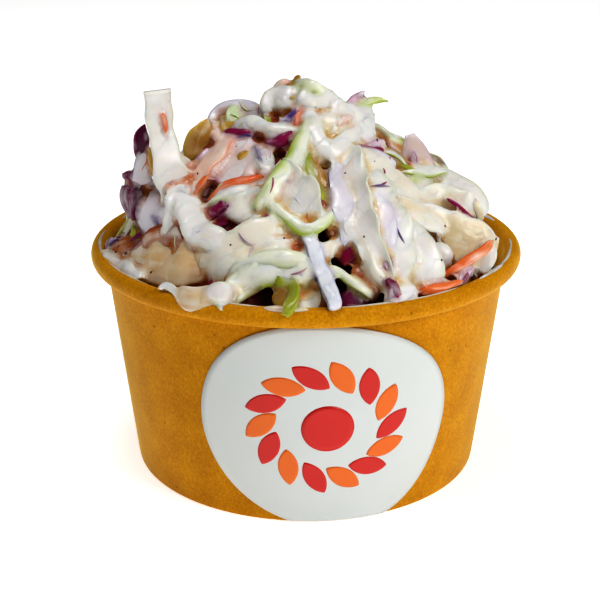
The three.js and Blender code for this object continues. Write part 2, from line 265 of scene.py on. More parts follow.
def swollen(mesh, distance):
    """Moves each point along its normal, by one distance or by one for each point, in millimetres."""
    normals = np.zeros(len(mesh.vertices) * 3, np.float32)
    mesh.vertex_normals.foreach_get("vector", normals)
    moved = points_of(mesh) + normals.reshape(-1, 3) * np.reshape(distance, (-1, 1))
    mesh.vertices.foreach_set("co", (moved * MM).astype(np.float32).ravel())
    mesh.update()
    return mesh


# ---------- nodes ----------

MIX_A, MIX_B, MIX_RESULT = 6, 7, 2  # a Mix node's sockets for colours


def add(tree, kind, inputs=None, stops=None, **settings):
    """Adds a node: settings are its properties, inputs its sockets' values or the sockets that feed them,
    and stops the (place, colour) pairs of a ramp."""
    made = tree.nodes.new(kind)
    for name, value in settings.items():
        setattr(made, name, value)
    for key, value in (inputs or {}).items():
        if isinstance(value, bpy.types.NodeSocket):
            tree.links.new(value, made.inputs[key])
        else:
            made.inputs[key].default_value = value
    if stops:
        ramp = made.color_ramp.elements
        while len(ramp) < len(stops):
            ramp.new(1.0)
        for element, (place, colour) in zip(ramp, stops):
            element.position = place
            element.color = linear(colour)
    return made


def noise(tree, place, size, detail):
    """Soft noise from 0 to 1, its lumps about size millimetres across."""
    inputs = {"Vector": place, "Scale": 1 / (size * MM), "Detail": detail}
    return add(tree, "ShaderNodeTexNoise", inputs).outputs["Fac"]


def carried(tree, value, start, end):
    """The value carried from one range to another: start and end are (from, to) pairs, held beyond them."""
    inputs = {"Value": value, "From Min": start[0], "From Max": end[0], "To Min": start[1], "To Max": end[1]}
    return add(tree, "ShaderNodeMapRange", inputs).outputs[0]


def worked_out(tree, operation, *values, **settings):
    """A sum of numbers, a product plus a number, and so on."""
    return add(tree, "ShaderNodeMath", dict(enumerate(values)), operation=operation, **settings).outputs[0]


def mixed(tree, share, first, second, **settings):
    """Two colours mixed."""
    inputs = {"Factor": share, MIX_A: first, MIX_B: second}
    return add(tree, "ShaderNodeMix", inputs, data_type="RGBA", **settings).outputs[MIX_RESULT]


def ramped(tree, value, stops):
    """The colour that a ramp gives a value."""
    return add(tree, "ShaderNodeValToRGB", {"Fac": value}, stops=stops).outputs["Color"]


def painted_on(tree, name, output):
    """A value or colour that is painted on the mesh."""
    return add(tree, "ShaderNodeAttribute", attribute_name=name).outputs[output]


def new_material(name, **settings):
    """A material's nodes, its Principled shader with the values that are the same all over the surface, and
    the place on the object."""
    made = bpy.data.materials.new(name)
    made.use_nodes = True
    tree = made.node_tree
    shader = tree.nodes["Principled BSDF"]
    for socket, value in settings.items():
        shader.inputs[socket.replace("_", " ")].default_value = value
    return made, tree, shader, add(tree, "ShaderNodeTexCoord").outputs["Object"]


def finished(tree, shader, colour, height=None, strength=0, millimetres=0):
    """Feeds the shader its colour, and its bump if it has one."""
    tree.links.new(colour, shader.inputs["Base Color"])
    if height is not None:
        inputs = {"Strength": strength, "Distance": millimetres * MM, "Height": height}
        tree.links.new(add(tree, "ShaderNodeBump", inputs).outputs[0], shader.inputs["Normal"])


def kraft_board(name, roughness):
    """Unbleached kraft board, calendered: brown fibres 1 to 3 mm long and 0.1 mm wide, drawn 0.3 mm wide so
    that they show, over soft clouds about 9 mm across, and rare dark specks of bark."""
    made, tree, shader, place = new_material(
        name,
        Roughness=roughness,
        IOR=1.45,
        Specular_IOR_Level=0.1,
        Sheen_Weight=0.6,
        Sheen_Roughness=0.35,
        Sheen_Tint=linear("#FFE060"),
    )
    clouds = noise(tree, place, size=9, detail=3.0)
    stretched = add(tree, "ShaderNodeMapping", {"Vector": place, "Scale": (1.0, 1.0, 0.8)}).outputs[0]
    fibre_inputs = {"Vector": stretched, "Scale": 1 / (0.6 * MM), "Detail": 4.0, "Distortion": 0.4}
    fibres = add(tree, "ShaderNodeTexNoise", fibre_inputs).outputs["Fac"]
    both = add(tree, "ShaderNodeMix", {"Factor": 0.62, "A": clouds, "B": fibres}).outputs["Result"]
    toned = ramped(tree, both, [(0.34, "#BA7B08"), (0.5, "#CC8D0E"), (0.66, "#DEA11A")])
    bark = add(tree, "ShaderNodeTexVoronoi", {"Vector": place, "Scale": 1 / (7 * MM)}).outputs["Distance"]
    fleck = carried(tree, bark, (0.03, 0.65), (0.06, 0.0))
    flecked = mixed(tree, fleck, toned, linear("#5A2404"))
    finished(tree, shader, flecked, height=fibres, strength=0.25, millimetres=0.08)
    return made


# The juices' colours, from the crests to the depth: the dark stops are painted shade as well as juice.
AMBER_JUICE_AND_SHADE = [(0.06, "#FFFFFF"), (0.28, "#F5E8CC"), (0.5, "#E2B060"), (0.74, "#B06C20"), (1.0, "#84461A")]
PLUM_JUICE_AND_SHADE = [(0.06, "#FFFFFF"), (0.28, "#F1DDD2"), (0.48, "#D8864A"), (0.74, "#A0402A"), (1.0, "#6A1828")]


def juiced_and_shaded(tree, place, colour, streaks):
    """The colour stained by the juice of the cabbages and darkened by painted shade: amber in some parts of
    the heap and plum in others, plum mostly at the left, where most of the red cabbage lies. It is clear on
    the crests and dark in the depth and the creases, where shade falls, as the depth attribute and the
    streaks say."""
    depth = painted_on(tree, "depth", "Fac")
    cloudy = worked_out(tree, "ADD", noise(tree, place, size=4, detail=3.0), streaks)
    shift = carried(tree, cloudy, (0.6, -0.16), (1.4, 0.16))
    across = add(tree, "ShaderNodeSeparateXYZ", {0: place}).outputs["X"]
    # Painted shade: the stain thins towards the right, where the key lamp falls, and stays heavier at the
    # left.
    clearer_on_lit_side = carried(tree, across, (5 * MM, 0.0), (40 * MM, -0.14))
    sunk = worked_out(tree, "ADD", worked_out(tree, "ADD", depth, shift), clearer_on_lit_side, use_clamp=True)
    amber, plum = ramped(tree, sunk, AMBER_JUICE_AND_SHADE), ramped(tree, sunk, PLUM_JUICE_AND_SHADE)
    regions = noise(tree, place, size=15, detail=1.0)
    leftward = worked_out(tree, "MULTIPLY_ADD", across, -0.12 / (40 * MM), regions)
    juice_and_shade = mixed(tree, carried(tree, leftward, (0.44, 0.0), (0.6, 1.0)), amber, plum)
    return mixed(tree, 1.0, colour, juice_and_shade, blend_type="MULTIPLY")


def grained(tree):
    """Veins along the shreds, a few tenths of a millimetre wide, from the grain painted on them: its red is
    the distance along the shred, its green the distance across it, and its blue tells the shreds apart."""
    grain = painted_on(tree, "grain", "Vector")
    drawn_out = add(tree, "ShaderNodeMapping", {"Vector": grain, "Scale": (0.08, 0.45, 1.0)}).outputs[0]
    inputs = {"Vector": drawn_out, "Scale": 1.0, "Detail": 3.0}
    return add(tree, "ShaderNodeTexNoise", inputs).outputs["Fac"]


def rippled(tree, place, veins, size, detail):
    """The height of wet food: its veins and soft ripples about size millimetres across."""
    return worked_out(tree, "MULTIPLY_ADD", veins, 1.2, noise(tree, place, size, detail))


def wet_plant(name, roughness, bare, cream, coat):
    """Cut leaf or root in a thin creamy dressing: moist and see-through. The plant's own colour is painted
    on the shreds, and the film of dressing lies over it in patches 5 mm across, thinner along the edges."""
    made, tree, shader, place = new_material(
        name,
        Roughness=roughness,
        IOR=1.4,
        Subsurface_Weight=0.4,
        Subsurface_Radius=(1.0, 0.75, 0.5),
        Subsurface_Scale=1.2 * MM,
        Specular_IOR_Level=0.4,
        Coat_Weight=coat,
        Coat_Roughness=0.08,
    )
    patches = carried(tree, noise(tree, place, size=5, detail=2.0), (0.3, -bare), (0.7, bare))
    veins = grained(tree)
    brushed = carried(tree, veins, (0.35, -0.25), (0.65, 0.25))
    film = worked_out(tree, "ADD", painted_on(tree, "film", "Fac"), patches)
    cover = worked_out(tree, "ADD", film, brushed, use_clamp=True)
    coated = mixed(tree, cover, painted_on(tree, "plant", "Color"), linear(cream))
    relief = rippled(tree, place, veins, size=1.4, detail=2.0)
    finished(tree, shader, juiced_and_shaded(tree, place, coated, veins), relief, strength=0.35, millimetres=0.25)
    return made


def creamy_dressing(name):
    """Mayonnaise dressing thinned with cabbage juice: opaque white where thick, warm and see-through where
    thin. tint holds the colour that the shreds below lend it, and depth how deep it lies in the heap, which
    darkens it with juice stain and painted shade."""
    made, tree, shader, place = new_material(
        name,
        Roughness=0.36,
        IOR=1.46,
        Subsurface_Weight=0.5,
        Subsurface_Radius=(1.0, 0.72, 0.45),
        Subsurface_Scale=1.4 * MM,
        Coat_Weight=0.16,
        Coat_Roughness=0.12,
    )
    veins = grained(tree)
    stained_and_shaded = juiced_and_shaded(tree, place, painted_on(tree, "tint", "Color"), veins)
    relief = rippled(tree, place, veins, size=1.8, detail=3.0)
    finished(tree, shader, stained_and_shaded, relief, strength=0.3, millimetres=0.3)
    return made


def coated_paper(name, light, dark):
    """Coated label paper, offset printed: smooth, bright and slightly glossy."""
    made, tree, shader, place = new_material(name, Roughness=0.38, IOR=1.5)
    clouds = noise(tree, place, size=12, detail=2.0)
    finished(tree, shader, mixed(tree, clouds, linear(light), linear(dark)))
    return made


def plain(name, **settings):
    """A material that is the same all over its surface."""
    return new_material(name, **settings)[0]


# ---------- the cup ----------

TURN_STEPS = 288
NEAR_AXIS = 0.01  # the base plate's middle points lie on this radius
SEAM_EDGE = 0.15  # its edges are rounded off over this


def lathe(name, outline):
    """Turns a closed outline of [radius, z] pairs, anticlockwise, about the cup's axis."""
    outline = np.array(outline)
    azimuth = np.linspace(0, TAU, TURN_STEPS, endpoint=False)[:, None]
    points = on_turn(azimuth, outline[None, :, 0], outline[None, :, 1])
    at = np.arange(TURN_STEPS * len(outline)).reshape(TURN_STEPS, -1)
    beside, above = np.roll(at, -1, axis=0), np.roll(at, -1, axis=1)
    corner = np.roll(beside, -1, axis=1)
    quads = np.stack((at, beside, corner, above), -1).reshape(-1, 4)
    return mesh_of(name, points.reshape(-1, 3), quads)


def arc(centre, reach, start, end, steps):
    """Points of an ellipse's arc about a centre, as [radius, z] pairs."""
    angles = np.linspace(start, end, steps)
    return np.column_stack((centre[0] + reach[0] * np.cos(angles), centre[1] + reach[1] * np.sin(angles)))


def cup_wall():
    """Wall, rolled rim and turned-in foot: one sheet of board in section."""
    fold_outer = FOOT_RADIUS - BOARD - (BOARD + 2 * GAP)
    fold_inner = fold_outer - BOARD
    roll = (CURL_CENTRE_R, CURL_CENTRE_Z)
    outside = arc(roll, (CURL_WIDTH / 2, CURL_HEIGHT / 2), math.pi, math.pi - CURL_SWEEP, 44)
    within = (CURL_WIDTH / 2 - BOARD, CURL_HEIGHT / 2 - BOARD)
    inside = arc(roll, within, math.pi - CURL_SWEEP, math.pi, 30)
    levels = np.linspace(FOOT_FLAT + 1, CURL_CENTRE_Z - 2, 24)
    corner = arc((FOOT_RADIUS - FOOT_FLAT, FOOT_FLAT), (FOOT_FLAT, FOOT_FLAT), -math.pi / 2, 0, 6)
    outer = np.column_stack((wall_outer(levels), levels))
    inner = outer[::-1] - (BOARD, 0)
    fold = [
        (wall_outer(BOARD) - BOARD, BOARD),
        (fold_outer + WALL_SLOPE * BOARD, BOARD),
        (fold_outer + WALL_SLOPE * FOOT_FOLD, FOOT_FOLD),
        (fold_inner + WALL_SLOPE * FOOT_FOLD, FOOT_FOLD),
        (fold_inner, FOOT_FLAT),
        (fold_inner + FOOT_FLAT, 0),
    ]
    outline = np.concatenate((corner, outer, inside[::-1], outside[::-1], inner, fold))
    return lathe("cup_wall_board", outline)


def wall_seam():
    """The overlap of the wall's two ends: a strip of board that stands out from the back, carried up the
    wall's slope from foot to roll."""
    levels = np.linspace(FOOT_FLAT + SEAM_END, CUP_HEIGHT - CURL_HEIGHT - SEAM_END, 24)[:, None]
    half = SEAM_WIDTH / 2
    across = np.concatenate(([-half], np.linspace(SEAM_EDGE - half, half - SEAM_EDGE, 9), [half]))
    azimuth = math.pi + np.concatenate((across, across[::-1])) / wall_outer(CUP_HEIGHT / 2)
    lift = np.repeat((SEAM_STEP, -SEAM_BITE), len(across))
    rings = on_turn(azimuth, wall_outer(levels) + lift, levels)
    skins = Skins()
    skins.add(rings, rings[0].mean(0), rings[-1].mean(0))
    return skins.mesh("cup_wall_seam")


def cup_base():
    """The base plate with its skirt turned down between wall and fold."""
    under = FOOT_FOLD + GAP
    top = under + BOARD
    foot = BOARD + GAP
    skirt = {z: wall_outer(z) - BOARD - GAP for z in (foot, under, top)}
    outline = [
        (skirt[foot] - BOARD, foot),
        (skirt[foot], foot),
        (skirt[top], top),
        (NEAR_AXIS, top),
        (NEAR_AXIS, under),
        (skirt[under] - BOARD, under),
    ]
    return lathe("cup_base_board", outline)


# ---------- the label ----------

LABEL_WIDTH = 65
LABEL_HEIGHT = 57
LABEL_CENTRE_Z = 27
LABEL_OFFSET = 5.5
LABEL_TILT = -0.3
LABEL_TOP = 55.4
LABEL_BOTTOM = 0.4
LABEL_THICKNESS = 0.2
LABEL_POWER = 2.15  # 2 would be a true ellipse
PRINT_THICKNESS = 0.04
PRINT_BITE = 0.02


def on_label(across, along, lift):
    """Places on the label's unrolled plane, measured from its middle and tilted with it, put on the cone."""
    c, s = math.cos(LABEL_TILT), math.sin(LABEL_TILT)
    free = LABEL_CENTRE_Z + (across * s + along * c) * math.cos(math.atan(WALL_SLOPE))
    z = np.clip(free, LABEL_BOTTOM, LABEL_TOP)
    azimuth = (LABEL_OFFSET + across * c - along * s) / wall_outer(LABEL_CENTRE_Z)
    return on_turn(azimuth, wall_outer(z) + lift, z)


def patch(name, shapes, lift, thickness, rings, round_steps):
    """Flat closed shapes on the label. Each shape gives across and along for shares (from its middle to its
    outline) and turns. The skin runs from the inner face's middle out to the outline and back."""
    skins = Skins()
    shares = np.linspace(0.04, 1, rings)
    turns = np.linspace(0, TAU, round_steps, endpoint=False)
    for shape in shapes:
        across, along = shape(shares[:, None], turns[None, :])
        under = on_label(across, along, lift)
        over = on_label(across, along, lift + thickness)
        middle = shape(np.zeros((1, 1)), np.zeros((1, 1)))
        ends = [on_label(*middle, height)[0, 0] for height in (lift, lift + thickness)]
        skins.add(np.concatenate((under, over[::-1])), *ends)
    return skins.mesh(name)


def label_outline(share, turn):
    """An ellipse, a little squarer than a true one."""
    c, s = np.cos(turn), np.sin(turn)
    reach = share * (np.abs(c) ** LABEL_POWER + np.abs(s) ** LABEL_POWER) ** (-1 / LABEL_POWER)
    return LABEL_WIDTH / 2 * reach * c, LABEL_HEIGHT / 2 * reach * s


# The print is a plain wreath of leaf shapes round a disc, turned upright against the label's tilt.
WREATH_CENTRE = (-0.5, 0.5)
WREATH_RADIUS = (16.5, 14.5)
WREATH_LEAVES = 14
WREATH_LEAN = 0.75
LEAF_LENGTH = 10.5
LEAF_WIDTH = 5.2
DISC_RADIUS = 6.5


def leaf_shape(turned):
    """A lens with two pointed ends, in the wreath's ring and leaning across it."""
    x = WREATH_CENTRE[0] + WREATH_RADIUS[0] * math.cos(turned)
    y = WREATH_CENTRE[1] + WREATH_RADIUS[1] * math.sin(turned)
    c, s = math.cos(turned + WREATH_LEAN), math.sin(turned + WREATH_LEAN)

    def shape(share, turn):
        u = share * np.cos(turn) * LEAF_LENGTH / 2
        v = share * (np.sin(turn) * np.abs(np.sin(turn)) ** 0.6) * LEAF_WIDTH / 2
        return x + u * c - v * s, y + u * s + v * c

    return shape


def disc_shape(share, turn):
    """The disc in the middle of the wreath."""
    reach = share * DISC_RADIUS
    return WREATH_CENTRE[0] + reach * np.cos(turn), WREATH_CENTRE[1] + reach * np.sin(turn)


def wreath(odd):
    """Every second leaf of the wreath."""
    return [leaf_shape(TAU * i / WREATH_LEAVES - LABEL_TILT) for i in range(odd, WREATH_LEAVES, 2)]


# ---------- where the shreds lie ----------


def placed(px, py, lift, depth=None):
    """The point that a pixel of the photograph shows, lift above the heap's outline: where the camera's ray
    first comes down to it, or passes nearest to it. With a depth, the point of the ray at that y."""
    right, down = (px - PICTURE / 2) / FOCAL_PIXELS, (py - PICTURE / 2) / FOCAL_PIXELS
    c, s = math.cos(CAMERA_DIP), math.sin(CAMERA_DIP)
    way = np.array((right, c - down * s, -s - down * c))
    if depth is not None:
        return CAMERA_PLACE + way * (depth - CAMERA_PLACE[1]) / way[1]
    ray = CAMERA_PLACE + way * np.linspace(*RAY_ENDS, RAY_STEPS)[:, None]
    above = ray[:, 2] - heap_height(ray[:, 0], ray[:, 1]) - lift
    return ray[np.argmax(above < 0) if (above < 0).any() else np.argmin(above)]


HEAP_HEART = np.array((0, 0, 42.5))  # what lies on the heap faces away from here


def outward(points):
    """The ways from the heap's heart to the points."""
    away = points - HEAP_HEART
    return away / np.linalg.norm(away, axis=-1, keepdims=True)


# ---------- shreds ----------

LIME = "#A8BE24"
PLUM = "#4B1A45"

# How each sort of shred looks: the kind it belongs to, its flesh, what mottles it, the skin along its two
# edges, how broad that skin shows as a share of its half width, and how thick the dressing lies on it.
SORTS = {
    "pale": ("white_cabbage", "#F4F2EF", "#E6DFD8", "#F0F0E6", "#DDDEC8", 0.3, 0.4),
    "lime": ("white_cabbage", "#E6ECC4", "#D2DC92", LIME, LIME, 0.4, 0.1),
    "lime edge": ("white_cabbage", "#F3F3EC", "#ECEAD4", LIME, "#E2E8BC", 0.5, 0.15),
    "leaf": ("white_cabbage", "#B2B83A", "#929A24", "#C8D068", "#A0A82C", 0.3, 0.05),
    "ivory": ("white_cabbage", "#F4EFE4", "#E8D8B6", "#F5F3EE", "#F2EEE0", 0.5, 0.4),
    "beige": ("white_cabbage", "#E9CFA6", "#CFA46C", "#F2EADC", "#EEDCC8", 0.4, 0.2),
    "mint": ("white_cabbage", "#D8E4BE", "#C6D8A0", "#BCD088", "#CCDCA8", 0.3, 0.3),
    "half lime": ("white_cabbage", "#F2F3E4", "#E0E4B4", LIME, "#F2F4E8", 0.85, 0.1),
    "ochre": ("white_cabbage", "#C8A040", "#A87028", "#D6B858", "#A87426", 0.4, 0.1),
    # rust: orange-brown leaf laid in the hollows and by the wall; its colour there is partly painted warm
    # shade.
    "rust": ("white_cabbage", "#BE7434", "#8A3A20", "#D69E58", "#94442A", 0.4, 0.22),
    "sheet": ("white_cabbage", "#EADDC0", "#DCC698", "#F4F2EE", "#F6F5F2", 0.2, 0.1),
    "lavender": ("red_cabbage", "#F1EEF2", "#DED4E0", PLUM, "#A894B8", 0.18, 0.4),
    "rimmed": ("red_cabbage", "#F0F1F6", "#DCE0EA", "#2E0A34", "#B4B0CC", 0.36, 0.15),
    "mauve": ("red_cabbage", "#E0BECE", "#EEDFE4", "#8A4470", "#B8849F", 0.3, 0.25),
    "blush": ("red_cabbage", "#EBDADA", "#DCC2B6", "#C084A0", "#D8B6BE", 0.16, 0.35),
    "plum": ("red_cabbage", "#7A1C50", "#480C30", "#9C4672", "#7C2A52", 0.3, 0.0),
    "magenta": ("red_cabbage", "#A4205E", "#7C1648", "#BC4C86", "#761448", 0.3, 0.0),
    "violet": ("red_cabbage", "#70508E", "#4C2E68", "#3A1C50", "#9A84BC", 0.3, 0.2),
    "carrot": ("carrot", "#E6662A", "#F08C50", "#F0A070", "#DC5A20", 0.3, 0.08),
    "peach": ("carrot", "#F5CAB6", "#F6E2D8", "#EC9A76", "#F4D4C2", 0.26, 0.4),
}


def new_skins():
    """An empty mesh for each kind of shred."""
    return {name: Skins() for name in ("white_cabbage", "red_cabbage", "carrot")}


def along(controls, steps):
    """Rows carried along a smooth curve through the controls (Catmull-Rom, its ends continued straight)."""
    controls = np.asarray(controls, float)
    padded = np.vstack((2 * controls[0] - controls[1], controls, 2 * controls[-1] - controls[-2]))
    u = np.linspace(0, len(controls) - 1, steps)
    i = np.minimum(u.astype(int), len(controls) - 2)
    t = (u - i)[:, None]
    a, b, c, d = (padded[i + k] for k in range(4))
    return b + 0.5 * t * (c - a + t * (2 * a - 5 * b + 4 * c - d + t * (3 * (b - c) + d - a)))


STEP_LENGTH = 1.05  # along a shred
STEP_LIMITS = (12, 60)
LEAST_WIDTH = 0.4
LEAST_TIP = 0.12  # as a share of the width
WANDER = 0.35  # how far a shred strays from its curve
BROAD = 5
POINTS_ROUND = (12, 18)  # of a narrow shred and a broad one
RUFFLE_LENGTH = 11
SKIN_LENGTH = 23  # over which the skin along the edges comes and goes


def ways_along(path, t, facing, roll):
    """The ways out and to the side along a path. Out faces away from the heap's heart, or one way if facing
    says so, and both are turned about the path by roll, in degrees at its two ends."""
    tangent = np.gradient(path, axis=0)
    tangent /= np.linalg.norm(tangent, axis=1, keepdims=True)
    out = outward(path) if facing is None else np.broadcast_to(np.array(facing, float), path.shape)
    out = out - (out * tangent).sum(1, keepdims=True) * tangent
    out /= np.linalg.norm(out, axis=1, keepdims=True)
    side = np.cross(out, tangent)
    angle = np.radians(np.interp(t, (0, 1), roll))[:, None]
    c, s = np.cos(angle), np.sin(angle)
    return out * c + side * s, side * c - out * s


def plant_and_film(looks, rings, t, v, length, seed):
    """The plant's own colour over a shred, flesh that is mottled and skin along the two edges, and how thick
    the dressing lies on it, from 0 to 1, with less along the edges."""
    flesh, mottle, left, right = (np.array(linear(colour)[:3]) for colour in looks[:4])
    band, film = looks[4:]
    veins = smooth(0.5 + 0.9 * waves(np.stack((t * length, t * 0, t * 0), -1), 7, seed + 40, 4))[:, None]
    spotted = (0.4 * veins + 0.4 * smooth(0.5 + waves(rings, 9, seed + 60, 6)))[..., None]
    plant = flesh * (1 - spotted) + mottle * spotted
    strength = 0.75 + 0.25 * np.sin(TAU * t * length / SKIN_LENGTH + seed)[:, None]
    for sign, skin in ((-1, left), (1, right)):
        share = (smooth((sign * v - (1 - band)) / (0.7 * band)) * strength)[..., None]
        plant = plant * (1 - share) + skin * share
    cover = film + 0.2 * waves(rings, 8, seed + 80, 6) - smooth((np.abs(v) - (1 - band)) / band)
    return plant, np.clip(cover, 0, 1)


def lay_shred(
    skins, sort, controls, thickness, seed, facing=None, roll=(0, 0), cup=0.5, blunt=6, ruffle=0.3, tuck=1.2
):
    """Lays a shred along controls, rows of x, y, z and width.

    At a share t of its length, with v from -1 to 1 across it and h from -1 to 1 through it, the point is
    path + side * width / 2 * v + out * (thickness / 2 * h * (0.75 + 0.25 * v^4) + bend), where bend is
    v^2 * (ruffle * wave(t) - cup), and each edge has a wave of its own.
    The width falls off at both ends as (1 - |2t - 1|^blunt)^(1/blunt), with short rounded tips, or, where
    blunt is 0, is cut off square. The tips dip by tuck. Broad shreds are leaf and a third thinner.
    """
    length = np.linalg.norm(np.diff(np.asarray(controls)[:, :3], axis=0), axis=1).sum()
    steps = int(np.clip(length / STEP_LENGTH, *STEP_LIMITS))
    row = along(controls, steps)
    path, width = row[:, :3], np.maximum(row[:, 3], LEAST_WIDTH)
    t = np.linspace(0, 1, steps)
    path = path + WANDER * np.stack([waves(path, 9, seed * 3 + k, 5) for k in range(3)], -1)
    out, side = ways_along(path, t, facing, roll)
    path = path - out * tuck * (np.abs(2 * t - 1) ** 5)[:, None]
    thickness = thickness * (1 - 0.35 * smooth((width.max() - 4) / 5))
    tip = (1 - np.abs(2 * t - 1) ** blunt) ** (1 / blunt) if blunt else np.ones(steps)
    tip = np.maximum(tip, LEAST_TIP)
    uneven = 1 + 0.1 * waves(path, 6, seed + 500, 5)
    around = POINTS_ROUND[0] if width.max() < BROAD else POINTS_ROUND[1]
    turn = np.linspace(0, TAU, around, endpoint=False)
    v = np.sign(np.cos(turn)) * np.abs(np.cos(turn)) ** 0.6
    h = np.sign(np.sin(turn)) * np.abs(np.sin(turn)) ** 0.8
    across = (width * tip * uneven / 2)[:, None] * v
    phase = TAU * t[:, None] * length / RUFFLE_LENGTH + seed
    bend = -cup * v**2 + ruffle * v**2 * (np.sin(phase) * (v > 0) + np.sin(phase * 1.3 + 2) * (v < 0))
    through = (thickness / 2 * np.maximum(tip, 0.4))[:, None] * h * (0.75 + 0.25 * v**4) + bend * tip[:, None]
    rings = path[:, None] + side[:, None] * across[..., None] + out[:, None] * through[..., None]
    kind, *looks = SORTS[sort]
    plant, film = plant_and_film(looks, rings, t, v, length, seed)
    grain = np.stack(np.broadcast_arrays((t * length)[:, None], across, 7.3 * (seed % 97)), -1)
    skins[kind].add(rings, path[0], path[-1], plant=plant, film=film, grain=grain)


# The ways that shreds face at the front, from steep to flat, and the manners in which many of them lie.
FRONT = (0, -1, 0.25)
LOW_FRONT = (0, -1, 0.4)
MID_FRONT = (0, -1, 0.5)
UP_FRONT = (0, -1, 0.6)
HIGH_FRONT = (0, -1, 0.8)
UPRIGHT = dict(facing=FRONT)
LEANING = dict(facing=UP_FRONT)
LYING = dict()
THREAD = dict(facing=FRONT, blunt=2, cup=0)
LYING_THREAD = dict(blunt=2, cup=0)

